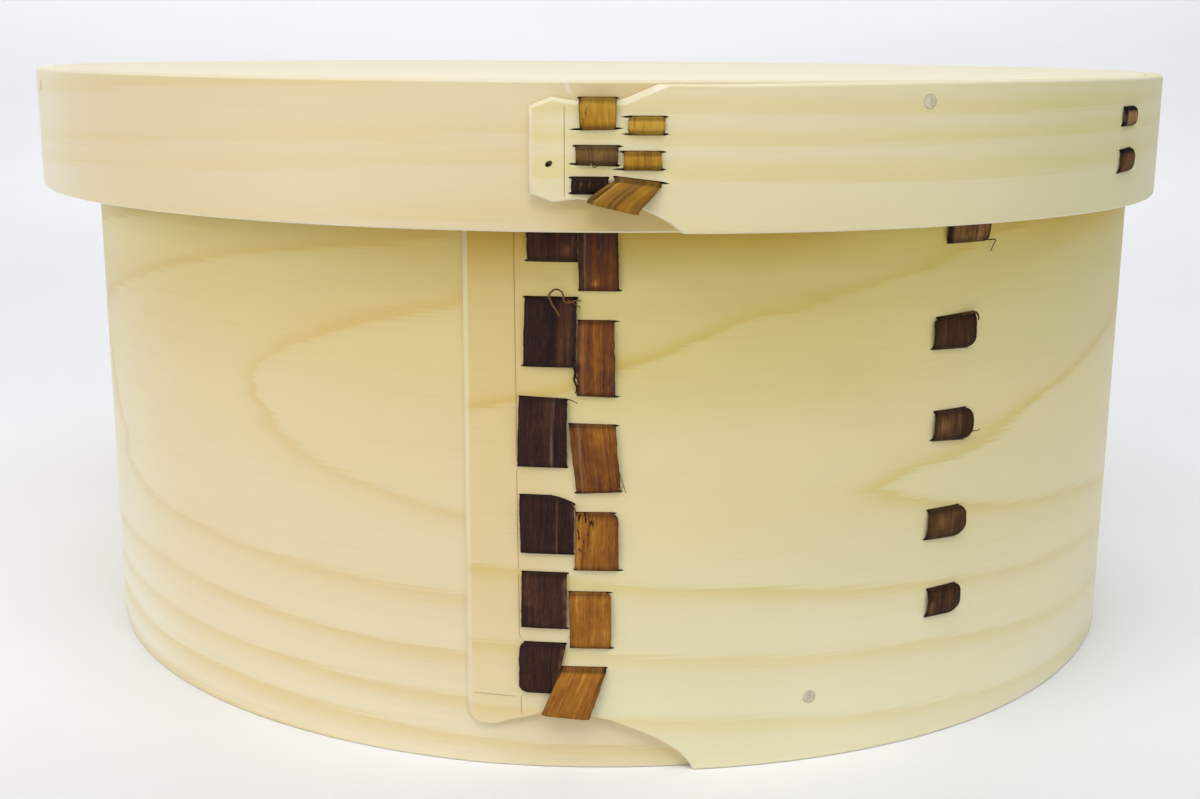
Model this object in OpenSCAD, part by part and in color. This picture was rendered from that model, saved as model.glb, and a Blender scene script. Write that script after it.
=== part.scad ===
// Round bentwood rice container with an overlapping lid.
// Each wall is one thin board bent into a ring whose ends overlap. The overlap
// is laced with strips of bark through knife slits, and a round board of
// edge-joined planks is pegged inside each ring.
// Millimetres. Z is up and the base rim stands on z = 0. The axis of the body
// is the Z axis. Angles run around Z from the front (-Y), positive to the right.

/* [Body] */
// Outside radius of the body ring
body_r = 115; // [112:0.5:118]
// Height of the body ring
body_h = 112.7; // [111:0.1:116]
// Thickness of the bent body board
body_t = 3.5; // [3.2:0.1:3.8]
// Height of the underside of the bottom board
bottom_z = 8; // [6:0.5:8]
// Thickness of the bottom board
bottom_t = 9; // [8:0.5:9]

/* [Lid] */
// Radial room between the outside of the body and the inside of the lid
lid_gap = 4.8; // [4.4:0.1:6]
// Thickness of the bent lid board
lid_t = 3.3; // [3:0.1:3.6]
// Height of the lid ring
lid_h = 23.8; // [23.6:0.1:25]
// Thickness of the lid board
lid_board_t = 6.8; // [6.6:0.1:7]
// How far the lid ring stands above its board
lid_rim = 0.2; // [0.1:0.1:0.4]
// How far the loose lid sits to the left of the body axis
lid_shift = 3.2; // [0:0.1:3.2]

/* [Lacing] */
// Thickness of a bark strip
bark_t = 0.6; // [0.4:0.05:0.6]
// Height of a knife slit
slit_h = 1; // [0.9:0.05:1.1]
// How far a slit runs past the bark on each side
slit_past = 0.8; // [0.6:0.1:1]

/* [Boards] */
// Width of the middle plank in both boards
plank_w = 84; // [78:1:88]
// Radius of a peg
peg_r = 1.2; // [1:0.05:1.3]
// Depth of a peg into the board
peg_in = 11; // [8:0.5:14]
// Radius of a hidden dowel between planks
dowel_r = 1.5; // [1.2:0.1:1.8]
// Length of a hidden dowel
dowel_len = 24; // [18:1:30]

/* [Hidden] */
$fn = 180;
glue = 0.15;        // glue line between the two plies of a lap
fit_gap = 0.2;      // room between a board and the ring around it
joint_gap = 0.1;    // glue line between planks
seat_gap = 0.3;     // the lid board stays this far above the body rim
pin_gap = 0.05;     // radial room around pegs and dowels
bark_gap = 0.1;     // room between bark and wood
step_a = 1.5;       // plan step along a lap, degrees

// heights of the lid
lid_board_z = body_h + seat_gap;
lid_top = lid_board_z + lid_board_t + lid_rim;
lid_z = lid_top - lid_h;
lid_r = body_r + lid_gap + lid_t;

// A ring: [outside radius, thickness, outer end of the lap, inner end of the
// lap, end of the bulge, step at the outer end, largest bulge, start of the
// full bulge, thickness of the inner end]
BODY = [body_r, body_t, -12.65, 38, 60, 0.75, 0.85, 6, 0.5];
LID = [lid_r, lid_t, -4.85, 57.5, 77.5, 1.15, 2.0, 17.5, 0.5];

function tip(h) = h[2];
function tail(h) = h[3];
function fade(h) = h[4];
function inside(h) = h[0] - h[1];
function ease(x) = x <= 0 ? 0 : x >= 1 ? 1 : x * x * (3 - 2 * x);
function pt(r, a) = [r * sin(a), -r * cos(a)];

// outside of the inner ply
function r_under(h, a) =
    h[0] + (inside(h) + h[8] - h[0]) * (a - tip(h)) / (tail(h) - tip(h));
// 1 falling to 0 and just past it, so that faces cross and never end tangent
function ramp(a, a0, a1) = 1 - 1.06 * max(0, a - a0) / (a1 - a0);
// inside of the outer ply, which settles back to the plain ring past the inner end
function r_over(h, a) = a <= tail(h)
    ? r_under(h, a) + glue
    : inside(h) + (h[8] + glue) * ramp(a, tail(h), fade(h));
// outside of the outer ply
function r_out(h, a) = h[0]
    + (h[5] + (h[6] - h[5]) * ease((a - tip(h)) / (h[7] - tip(h))))
    * ramp(a, tail(h) - 8, fade(h));
function r_face(h, a) =
    a >= tip(h) && a <= fade(h) ? max(r_out(h, a), h[0]) : h[0];
function r_most(h, a0, a1) = max([for (i = [0:8]) r_face(h, a0 + (a1 - a0) * i / 8)]);

function span(a0, a1) = let (n = ceil((a1 - a0) / step_a))
    [for (i = [0:n]) a0 + (a1 - a0) * i / n];
function back(v) = [for (i = [len(v) - 1:-1:0]) v[i]];

// A plain ring, thickened outwards along the lap. The glue line then parts the
// two plies, and runs out on both faces, so that the board is one open strip.
module ring_board(h, z0, z1) {
    difference() {
        union() {
            difference() {
                translate([0, 0, z0]) cylinder(r = h[0], h = z1 - z0);
                translate([0, 0, z0 - 1]) cylinder(r = inside(h), h = z1 - z0 + 2);
            }
            translate([0, 0, z0]) linear_extrude(z1 - z0)
                polygon(concat(
                    [for (a = span(tip(h), fade(h))) pt(r_out(h, a), a)],
                    [for (a = back(span(tip(h), fade(h)))) pt(h[0] - 1, a)]));
        }
        translate([0, 0, z0 - 1]) linear_extrude(z1 - z0 + 2)
            polygon(concat(
                [for (a = span(tip(h) - 1, tail(h))) pt(r_under(h, a) + glue, a)],
                [for (a = span(tail(h) + 0.5, fade(h))) pt(r_over(h, a), a)],
                [for (a = back(span(tail(h), fade(h)))) pt(inside(h) - 2, a)],
                [for (a = back(span(tip(h) - 1, tail(h)))) pt(r_under(h, a), a)]));
    }
}

// everything outside the inner ply, between two angles
module outer_region(h, a0, a1, z0, z1) {
    translate([0, 0, z0]) linear_extrude(z1 - z0)
        polygon(concat(
            [for (a = span(a0, a1)) pt(r_out(h, a) + 6, a)],
            [for (a = back(span(a0, a1))) pt(r_under(h, max(a, tip(h))) + glue / 2, a)]));
}

// a prism seen from the front, with its outline given as [angle, height]
module front_prism(h, points) {
    rotate([90, 0, 0]) linear_extrude(200)
        polygon([for (p = points) [(h[0] + 0.8) * sin(p[0]), p[1]]]);
}

// what is cut away from the outer ply above or below the tongue
module tongue_cut(h, points, z0, z1) {
    intersection() {
        outer_region(h, tip(h) - 3, 12, z0, z1);
        front_prism(h, points);
    }
}

// one knife slit through both plies
module slit(h, a0, a1, z) {
    w = h[0] * (a1 - a0) * PI / 180 + 2 * slit_past;
    rotate([0, 0, (a0 + a1) / 2])
        translate([-w / 2, -h[0] - 6, z - slit_h / 2]) cube([w, h[1] + 10, slit_h]);
}
module slits(h, a0, a1, rows) {
    for (s = rows) {
        slit(h, a0, a1, s[0] + bark_t / 2);
        slit(h, a0, a1, s[1] - bark_t / 2);
    }
}

// A strip laced through the slits, as an outline in radius and height that is
// turned about the axis. Rows are the stitches that show outside, from the
// lowest. It starts flush inside, as a tail inside, or from an outer fold.
function bark_outline(h, a0, a1, rows, start, from, tuck) =
    let (
        n = len(rows) - 1,
        ro = r_most(h, a0, a1) + bark_gap,
        ri = inside(h) - bark_gap,
        rs = inside(h) + 0.1,
        re = tuck ? r_under(h, a0) + 0.25 : rs,
        t = bark_t,
        p0 = start == "flush" ? [[rs, rows[0][0]]]
            : start == "tail" ? [[ri, from], [ri, rows[0][0]]]
            : [[ro + 1.3, from], [ri, from], [ri, rows[0][0]]],
        q0 = start == "flush" ? [[rs, rows[0][0] + t]]
            : start == "tail" ? [[ri - t, from], [ri - t, rows[0][0] + t]]
            : [[ro + 1.3, from - t], [ri - t, from - t], [ri - t, rows[0][0] + t]],
        p = [for (i = [0:n]) each concat(
            [[ro + t, rows[i][0]], [ro + t, rows[i][1]]],
            i < n ? [[ri, rows[i][1]], [ri, rows[i + 1][0]]] : [[re, rows[i][1]]])],
        q = [for (i = [0:n]) each concat(
            [[ro, rows[i][0] + t], [ro, rows[i][1] - t]],
            i < n ? [[ri - t, rows[i][1] - t], [ri - t, rows[i + 1][0] + t]]
                : [[re, rows[i][1] - t]])]
    ) concat(p0, p, back(concat(q0, q)));

module bark(h, a0, a1, rows, start, from, tuck) {
    rotate([0, 0, a0 - 90]) rotate_extrude(angle = a1 - a0)
        polygon(bark_outline(h, a0, a1, rows, start, from, tuck));
}

// the last stitch, laid aslant over the tongue's lower edge and folded under it
module aslant(h, a0, a1, face, fold, z0, z1) {
    ro = r_most(h, a0, a1);
    intersection() {
        rotate([0, 0, a0 - 90]) rotate_extrude(angle = a1 - a0)
            translate([ro + 0.85, z0]) square([bark_t, z1 - z0]);
        front_prism(h, face);
    }
    intersection() {
        rotate([0, 0, a0 - 90]) rotate_extrude(angle = a1 - a0)
            translate([r_under(h, a0) + 0.25, z0])
                square([ro + 0.85 + bark_t / 2 - r_under(h, a0) - 0.25, z1 - z0]);
        front_prism(h, fold);
    }
}

// a round board cut to the part between two lines across it
module plank(r, z0, t, y0, y1) {
    intersection() {
        translate([0, 0, z0]) cylinder(r = r, h = t);
        translate([-r - 1, y0, z0 - 1]) cube([2 * r + 2, y1 - y0, t + 2]);
    }
}
module radial_pins(r0, r1, pin, z, angles) {
    for (a = angles) rotate([0, 0, a]) translate([0, -r0, z])
        rotate([90, 0, 0]) cylinder(r = pin, h = r1 - r0, $fn = 48);
}
module cross_dowels(pin, half, z) {
    for (x = [-55, 55]) for (y = [-plank_w / 2, plank_w / 2])
        translate([x, y + half, z]) rotate([90, 0, 0])
            cylinder(r = pin, h = 2 * half, $fn = 48);
}

// lacing of the body: angles, then stitches as [low, high]
body_left_a = [-7.7, -3.7];
body_left = [[14.7, 24], [26.7, 36.8], [40.2, 50.5], [55.6, 67.8], [73, 84.7], [90.7, 98.3]];
body_right_a = [-3.3, 0.2];
body_right = [[23.3, 33.5], [37.4, 47.8], [51.2, 63.2], [68, 80.9], [85.9, 96.3]];
body_right_from = 19.7;
body_end_a = [29.2, 33.7];
body_end = [[23.6, 29.3], [38.4, 44.2], [56.6, 62.4], [73.4, 79.8], [92.1, 98.5]];
body_end_from = 18.5;
body_slant = [[-3.5, 19.9], [-0.3, 19.9], [-1.9, 9.4], [-5.5, 10]];
body_fold = [[-5.5, 10.6], [-1.8, 10], [-1.9, 9.4], [-5.5, 10]];

// lacing of the lid, heights above its lower edge
lid_left_a = [-1.4, 1.45];
lid_left = [for (s = [[6.3, 8.9], [10.8, 13.9], [16.2, 21.3]]) [s[0] + lid_z, s[1] + lid_z]];
lid_right_a = [2.15, 4.9];
lid_right = [for (s = [[10.3, 13], [15.5, 18.5]]) [s[0] + lid_z, s[1] + lid_z]];
lid_right_from = lid_z + 8.7;
lid_end_a = [50, 53.4];
lid_end = [for (s = [[6.7, 11.1], [15.1, 18.7]]) [s[0] + lid_z, s[1] + lid_z]];
lid_slant = [for (p = [[1.5, 8.9], [4.8, 8.3], [3.1, 3.07], [-0.9, 4.38]]) [p[0], p[1] + lid_z]];
lid_fold = [for (p = [[-0.9, 4.93], [3.2, 3.62], [3.1, 2.97], [-0.9, 4.28]]) [p[0], p[1] + lid_z]];

// outline of the tongues as [angle, distance in from the edge of the ring]
body_tongue = [[-13.2, 10.5], [-12.2, 8.6], [-11.3, 8.1], [-10.1, 8.2], [-8.2, 9.45],
    [-6.9, 10.1], [-5.8, 10.75], [-5, 10.9], [-4, 10.8], [-2, 10.25], [-0.25, 9.6],
    [1.1, 8.85], [2.6, 7.65], [3.9, 6.4], [5, 5], [6, 3.6], [6.8, 1.9], [7.3, 0]];
lid_tongue_low = [[-5.35, 6.6], [-3.1, 4.85], [-1.25, 5.4], [3.5, 3.8], [4.4, 2.85],
    [5.4, 1.7], [6.45, 0]];
lid_tongue_high = [[-5.35, 4.3], [-3.2, 2.5], [-2.2, 2.9], [-1.2, 3.2], [1.65, 3.2], [4.5, 0]];

body_peg_z = bottom_z + bottom_t / 2 - 0.4;
body_peg_a = [for (i = [0:3]) 17.8 + 90 * i];
lid_peg_z = lid_board_z + lid_board_t / 2 + 0.3;
lid_peg_a = [for (i = [0:3]) 25.7 + 90 * i];
bottom_r = body_r - body_t - fit_gap;
lid_board_r = lid_r - lid_t - fit_gap;

function cut_low(points, z) = concat(
    [[-16, z - 1], [-16, z + points[0][1]]],
    [for (p = points) [p[0], z + p[1]]],
    [[points[len(points) - 1][0] + 0.2, z - 1]]);
function cut_high(points, z) = concat(
    [[-16, z + 1], [-16, z - points[0][1]]],
    [for (p = points) [p[0], z - p[1]]],
    [[points[len(points) - 1][0] + 0.2, z + 1]]);

module body_hoop() {
    color("#eddcae") difference() {
        ring_board(BODY, 0, body_h);
        tongue_cut(BODY, cut_low(body_tongue, 0), -2, 20);
        tongue_cut(BODY, cut_high(body_tongue, body_h), body_h - 20, body_h + 2);
        slits(BODY, body_left_a[0], body_left_a[1], body_left);
        slits(BODY, body_right_a[0], body_right_a[1], body_right);
        slit(BODY, body_right_a[0], body_right_a[1], body_right_from - bark_t / 2);
        slits(BODY, body_end_a[0], body_end_a[1], body_end);
        radial_pins(body_r - body_t - 3, body_r + 4, peg_r + pin_gap, body_peg_z, body_peg_a);
    }
}
module bottom_plank(y0, y1) {
    color("#e8d5a4") difference() {
        plank(bottom_r, bottom_z, bottom_t, y0, y1);
        cross_dowels(dowel_r + pin_gap, dowel_len / 2 + 0.5, body_peg_z);
        radial_pins(bottom_r - peg_in - 0.5, body_r + 4, peg_r + pin_gap, body_peg_z, body_peg_a);
    }
}
module bottom_plank_front() { bottom_plank(-bottom_r - 1, -plank_w / 2 - joint_gap / 2); }
module bottom_plank_middle() { bottom_plank(-plank_w / 2 + joint_gap / 2, plank_w / 2 - joint_gap / 2); }
module bottom_plank_rear() { bottom_plank(plank_w / 2 + joint_gap / 2, bottom_r + 1); }
module bottom_dowels() { color("#cdb37a") cross_dowels(dowel_r, dowel_len / 2, body_peg_z); }
module body_pegs() {
    color("#a89a7c") for (a = body_peg_a)
        radial_pins(bottom_r - peg_in, r_face(BODY, a) + 0.05, peg_r, body_peg_z, [a]);
}
module body_lap_bark_left() {
    color("#4a2a22") bark(BODY, body_left_a[0], body_left_a[1], body_left, "flush", 0, false);
}
module body_lap_bark_right() {
    color("#8a5a32") union() {
        bark(BODY, body_right_a[0], body_right_a[1], body_right, "over", body_right_from, false);
        aslant(BODY, -6, 1, body_slant, body_fold, 8.5, 22);
    }
}
module body_end_bark() {
    color("#5a3626") bark(BODY, body_end_a[0], body_end_a[1], body_end, "tail", body_end_from, false);
}

module lid_at() { translate([-lid_shift, 0, 0]) children(); }
module lid_hoop() {
    color("#efdfb4") lid_at() difference() {
        ring_board(LID, lid_z, lid_top);
        tongue_cut(LID, cut_low(lid_tongue_low, lid_z), lid_z - 2, lid_z + 8);
        tongue_cut(LID, cut_high(lid_tongue_high, lid_top), lid_top - 6, lid_top + 2);
        slits(LID, lid_left_a[0], lid_left_a[1], [lid_left[0], lid_left[1]]);
        slit(LID, lid_left_a[0], lid_left_a[1], lid_left[2][0] + bark_t / 2);
        slits(LID, lid_right_a[0], lid_right_a[1], lid_right);
        slit(LID, lid_right_a[0], lid_right_a[1], lid_right_from - bark_t / 2);
        slits(LID, lid_end_a[0], lid_end_a[1], lid_end);
        radial_pins(lid_r - lid_t - 3, lid_r + 5, peg_r + pin_gap, lid_peg_z, lid_peg_a);
    }
}
module lid_plank(y0, y1) {
    color("#ecdbac") lid_at() difference() {
        plank(lid_board_r, lid_board_z, lid_board_t, y0, y1);
        cross_dowels(dowel_r + pin_gap, dowel_len / 2 + 0.5, lid_peg_z);
        radial_pins(lid_board_r - peg_in - 0.5, lid_r + 5, peg_r + pin_gap, lid_peg_z, lid_peg_a);
    }
}
module lid_plank_front() { lid_plank(-lid_board_r - 1, -plank_w / 2 - joint_gap / 2); }
module lid_plank_middle() { lid_plank(-plank_w / 2 + joint_gap / 2, plank_w / 2 - joint_gap / 2); }
module lid_plank_rear() { lid_plank(plank_w / 2 + joint_gap / 2, lid_board_r + 1); }
module lid_dowels() { color("#cdb37a") lid_at() cross_dowels(dowel_r, dowel_len / 2, lid_peg_z); }
module lid_pegs() {
    color("#a89a7c") lid_at() for (a = lid_peg_a)
        radial_pins(lid_board_r - peg_in, r_face(LID, a) + 0.05, peg_r, lid_peg_z, [a]);
}
module lid_lap_bark_left() {
    color("#5c3c2a") lid_at() bark(LID, lid_left_a[0], lid_left_a[1], lid_left, "flush", 0, true);
}
module lid_lap_bark_right() {
    color("#8c6434") lid_at() union() {
        bark(LID, lid_right_a[0], lid_right_a[1], lid_right, "over", lid_right_from, false);
        aslant(LID, -1.5, 5.5, lid_slant, lid_fold, lid_z + 1, lid_z + 10);
    }
}
module lid_end_bark() {
    color("#5a3c26") lid_at() bark(LID, lid_end_a[0], lid_end_a[1], lid_end, "flush", 0, false);
}

body_hoop();
bottom_plank_front();
bottom_plank_middle();
bottom_plank_rear();
bottom_dowels();
body_pegs();
body_lap_bark_left();
body_lap_bark_right();
body_end_bark();
lid_hoop();
lid_plank_front();
lid_plank_middle();
lid_plank_rear();
lid_dowels();
lid_pegs();
lid_lap_bark_left();
lid_lap_bark_right();
lid_end_bark();
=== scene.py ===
import math

import bpy
import bmesh
import numpy as np
from mathutils import Matrix, Vector, noise
from mathutils.geometry import delaunay_2d_cdt


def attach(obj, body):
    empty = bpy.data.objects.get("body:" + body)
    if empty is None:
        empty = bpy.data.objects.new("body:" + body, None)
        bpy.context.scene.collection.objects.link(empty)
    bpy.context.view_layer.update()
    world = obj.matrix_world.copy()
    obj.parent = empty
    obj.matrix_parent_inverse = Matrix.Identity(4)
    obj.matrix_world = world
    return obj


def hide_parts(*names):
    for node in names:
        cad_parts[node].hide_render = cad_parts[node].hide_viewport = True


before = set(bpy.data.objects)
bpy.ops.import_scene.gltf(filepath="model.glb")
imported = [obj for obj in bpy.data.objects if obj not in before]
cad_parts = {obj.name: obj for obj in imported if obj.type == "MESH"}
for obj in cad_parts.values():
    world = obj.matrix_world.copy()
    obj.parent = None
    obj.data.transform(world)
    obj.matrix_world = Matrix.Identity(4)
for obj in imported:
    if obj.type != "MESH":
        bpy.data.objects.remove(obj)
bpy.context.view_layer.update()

MM = 0.001

# ---------------------------------------------------------------- the two rings
# Angles in degrees from the front (-Y), positive to the right; millimetres.
GLUE = 0.15
BARK_T = 0.6
BARK_GAP = 0.1


def ease(x):
    x = np.clip(x, 0.0, 1.0)
    return x * x * (3.0 - 2.0 * x)


def near(x, c, w):
    return np.exp(-((x - c) / w) ** 2)


class Ring:
    """A bent board. s is the angle along the board, from the outer end (tip) to the inner end (360 + tail)."""

    def __init__(self, r, t, tip, tail, fade, step, bulge, full, end, cx, z0, z1):
        self.r, self.t, self.tip, self.tail, self.fade = r, t, tip, tail, fade
        self.step, self.bulge, self.full, self.end = step, bulge, full, end
        self.cx, self.z0, self.z1 = cx, z0, z1
        self.inside = r - t
        self.k = r * math.pi / 180.0
        self.s1 = 360.0 + tail

    def under(self, a):
        a = np.asarray(a, float)
        return self.r + (self.inside + self.end - self.r) * (a - self.tip) / (self.tail - self.tip)

    def out(self, a):
        a = np.asarray(a, float)
        rise = self.step + (self.bulge - self.step) * ease((a - self.tip) / (self.full - self.tip))
        a0 = self.tail - 8.0
        return self.r + rise * (1.0 - ease((a - a0) / (self.fade - a0)))

    def top(self, s):
        s = np.asarray(s, float)
        return np.where(s <= self.fade, self.out(s), np.where(s < 360.0 + self.tip, self.r, self.under(s - 360.0)))

    def bot(self, s):
        s = np.asarray(s, float)
        settle = self.inside + (self.end + GLUE) * (1.0 - ease((s - self.tail) / (self.fade - self.tail)))
        return np.where(s <= self.tail, self.under(s) + GLUE, np.where(s <= self.fade, settle, self.inside))

    def face(self, a):
        a = np.asarray(a, float)
        return np.where((a >= self.tip) & (a <= self.fade), self.out(a), self.r)

    def xyz(self, a, r, z):
        a = np.radians(np.asarray(a, float))
        return np.stack([self.cx + r * np.sin(a), -r * np.cos(a), np.asarray(z, float) + 0.0 * a], -1)


# planed 0.04 mm under size, so that nothing stands proud of the drawn rings
BODY = Ring(114.96, 3.46, -12.65, 38.0, 60.0, 0.75, 0.85, 6.0, 0.5, 0.0, 0.0, 112.7)
LID = Ring(123.06, 3.26, -4.85, 57.5, 77.5, 1.15, 2.0, 17.5, 0.5, -3.2, 96.2, 120.0)


def lid_drop(s):
    """The lid's board is planed a little lower towards its outer end, so its upper edge steps at the lap."""
    return -0.55 * (1.0 - ease((np.asarray(s, float) - 6.0) / 26.0))


# ---------------------------------------------------------------- grain of the boards
def body_phase(s, z):
    """Year-ring number over the body board: a flame on each side of the lap, even lines round the back."""
    s = np.asarray(s, float)
    z = np.asarray(z, float)
    # left of the lap, towards the inner end
    th = s - 360.0
    d = (z - 64.5) ** 2
    rise = np.where(z >= 64.5, 16.6, 8.4 + 8.2 * np.exp(-(d / 600.0) ** 2))
    k = np.where(th < -13.0, 350.0 + rise * (th + 13.0), 350.0 + 8.0 * (th + 13.0))
    left = (d - k) / np.where(z >= 64.5, 600.0, 600.0 + 200.0 * ease(d / 800.0))
    # right of the lap, from the outer end
    x = 49.0 + 1.8 * near(s, 25.0, 9.0) * near(z, 51.0, 9.0) - z - 0.115 * (s - 24.0)
    # the line that climbs from the lacing to the lid bows up on its way
    bow = -2.6 + 5.0 * ease((s - 2.5) / 8.5) - 2.4 * ease((s - 12.0) / 19.0) - 3.0 * ease(-s / 11.0)
    axis = -0.66 * (s - 24.0) / 38.5
    low = x / 11.9 - 0.54 * (1.0 - np.exp(-np.maximum(x, 0.0) / 7.0)) + axis * np.exp(-np.maximum(x, 0.0) / 10.0)
    high = -(x + bow * ease(-x / 22.0)) / 38.5 + axis
    right = np.where(x > 0.0, low, high) + 6.0
    # round the back
    back = z / 13.0 + 0.55 * np.sin(np.radians(s * 1.7 + 20.0)) + 0.9 * np.exp(-((s - 165.0) / 38.0) ** 2) * np.cos(z / 17.0) + 1.3
    wr = 1.0 - ease((s - 66.0) / 60.0)
    wl = ease((s - 222.0) / 62.0)
    return right * wr + left * wl + back * (1.0 - wr - wl)


def lid_phase(s, z):
    s = np.asarray(s, float)
    z = np.asarray(z, float)
    y = z - (109.0 + 0.09 * (s - 327.0))
    left = np.where(y > 0.0, y / 9.5, np.where(y > -3.6, y / 3.6, (y + 3.6) / 9.0 - 1.0)) + 3.0
    y = z - 106.6 - 0.012 * (s - 30.0)
    right = np.where(y > 0.0, y / 4.7, y / 13.0) + 2.0 + 0.10 * np.sin(np.radians(s * 2.6))
    back = (z - 98.0) / 6.6 + 0.6 * np.sin(np.radians(s * 1.3 + 60.0)) + 1.0
    wr = 1.0 - ease((s - 70.0) / 60.0)
    wl = ease((s - 215.0) / 60.0)
    return right * wr + left * wl + back * (1.0 - wr - wl)


# ---------------------------------------------------------------- flat boards, bent round
def resample(points, step):
    """Adds points along the straight runs of an outline of [s, z, ...] rows, k millimetres a degree."""
    out = []
    n = len(points)
    for i in range(n):
        a, b = np.array(points[i], float), np.array(points[(i + 1) % n], float)
        m = 1 if a[5] else max(1, int(math.ceil(math.hypot(*(b - a)[:2]) / step)))
        for j in range(m):
            p = a + (b - a) * j / m
            p[2:] = a[2:]
            out.append(p)
    return np.array(out)


def edge_normals(p):
    d = np.roll(p, -1, 0) - p
    d /= np.linalg.norm(d, axis=1)[:, None]
    return np.stack([d[:, 1], -d[:, 0]], 1)


def offset_loop(p, o):
    """The loop moved into the material by o for each edge."""
    n2 = edge_normals(p)
    n1 = np.roll(n2, 1, 0)
    o1 = np.roll(o, 1)
    det = n1[:, 0] * n2[:, 1] - n1[:, 1] * n2[:, 0]
    flat = np.abs(det) < 0.12
    safe = np.where(flat, 1.0, det)
    vx = (-o1 * n2[:, 1] + o * n1[:, 1]) / safe
    vy = (-o * n1[:, 0] + o1 * n2[:, 0]) / safe
    mid = n1 + n2
    ln = np.linalg.norm(mid, axis=1)
    bad = ln < 0.3
    mid = np.where(bad[:, None], n2, mid / np.maximum(ln, 1e-6)[:, None])
    om = 0.5 * (o + o1)
    v = np.where(flat[:, None], -mid * om[:, None], np.stack([vx, vy], 1))
    long = np.linalg.norm(v, axis=1)
    cap = np.maximum(np.maximum(o, o1) * 3.2, 1e-6)
    return p + v * np.minimum(1.0, cap / np.maximum(long, 1e-9))[:, None]


def inside_poly(q, poly):
    hit = np.zeros(len(q), bool)
    a, b = poly, np.roll(poly, -1, 0)
    for (x0, y0), (x1, y1) in zip(a, b):
        if y0 == y1:
            continue
        cross = (q[:, 1] >= min(y0, y1)) & (q[:, 1] < max(y0, y1))
        hit ^= cross & (q[:, 0] < x0 + (q[:, 1] - y0) * (x1 - x0) / (y1 - y0))
    return hit


def far_from(q, lines, gap):
    ok = np.ones(len(q), bool)
    for line, closed in lines:
        lo, hi = line.min(0) - gap, line.max(0) + gap
        pick = np.nonzero(ok & (q >= lo).all(1) & (q <= hi).all(1))[0]
        if not len(pick):
            continue
        a = line
        b = np.roll(line, -1, 0)
        if not closed:
            a, b = a[:-1], b[:-1]
        for p0, p1 in zip(a, b):
            d = p1 - p0
            t = np.clip(((q[pick] - p0) @ d) / max(d @ d, 1e-12), 0, 1)
            close = np.linalg.norm(q[pick] - (p0 + t[:, None] * d), axis=1) < gap
            ok[pick[close]] = False
    return ok


def triangulate(outer, holes, lines, grid):
    """Triangles over the outline, less its holes, through the given lines and grid points."""
    verts, edges = [], []
    for loop in [outer] + holes:
        base, n = len(verts), len(loop)
        verts += [tuple(p) for p in loop]
        edges += [(base + i, base + (i + 1) % n) for i in range(n)]
    for line in lines:
        base, n = len(verts), len(line)
        verts += [tuple(p) for p in line]
        edges += [(base + i, base + i + 1) for i in range(n - 1)]
    keep = inside_poly(grid, outer) & far_from(grid, [(l, True) for l in [outer] + holes] + [(l, False) for l in lines], 0.9)
    for h in holes:
        keep &= ~inside_poly(grid, h)
    verts += [tuple(p) for p in grid[keep]]
    ov, _, of, orig, _, _ = delaunay_2d_cdt([Vector(v) for v in verts], edges, [], 0, 1e-6, True)
    ids = []
    for i, o in enumerate(orig):
        if not len(o):
            raise RuntimeError("lines of a board cross near %.2f, %.2f" % tuple(ov[i]))
        ids.append(o[0])
    tri = np.array([[ids[i] for i in f] for f in of], int)
    vv = np.array(verts, float)
    c = vv[tri].mean(1)
    ok = inside_poly(c, outer)
    for h in holes:
        lo, hi = h.min(0), h.max(0)
        box = (c >= lo).all(1) & (c <= hi).all(1) & ok
        pick = np.nonzero(box)[0]
        if len(pick):
            ok[pick[inside_poly(c[pick], h)]] = False
    tri = tri[ok]
    a, b, d = vv[tri[:, 0]], vv[tri[:, 1]], vv[tri[:, 2]]
    area = (b[:, 0] - a[:, 0]) * (d[:, 1] - a[:, 1]) - (b[:, 1] - a[:, 1]) * (d[:, 0] - a[:, 0])
    tri[area < 0] = tri[area < 0][:, ::-1]
    return vv, tri[np.abs(area) > 1e-9]


def make_mesh(name, verts, faces, material, normals=None, floats=None, vectors=None):
    me = bpy.data.meshes.new(name)
    me.from_pydata([tuple(v) for v in np.asarray(verts) * MM], [], [tuple(int(i) for i in f) for f in faces])
    me.update()
    for key, val in (floats or {}).items():
        me.attributes.new(key, "FLOAT", "POINT").data.foreach_set("value", np.asarray(val, np.float32).ravel())
    for key, val in (vectors or {}).items():
        me.attributes.new(key, "FLOAT_VECTOR", "POINT").data.foreach_set("vector", np.asarray(val, np.float32).ravel())
    me.shade_smooth()
    if normals is not None:
        me.normals_split_custom_set_from_vertices([tuple(n) for n in normals])
    me.materials.append(material)
    ob = bpy.data.objects.new(name, me)
    bpy.context.scene.collection.objects.link(ob)
    return ob


def kneed(t, knee):
    """0 to 1 across a strip: a straight line, or level up to the knee and curving from there."""
    t = np.asarray(t, float)
    return t if knee <= 0.0 else np.clip((t - knee) / (1.0 - knee), 0.0, None) ** 1.6


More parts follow.
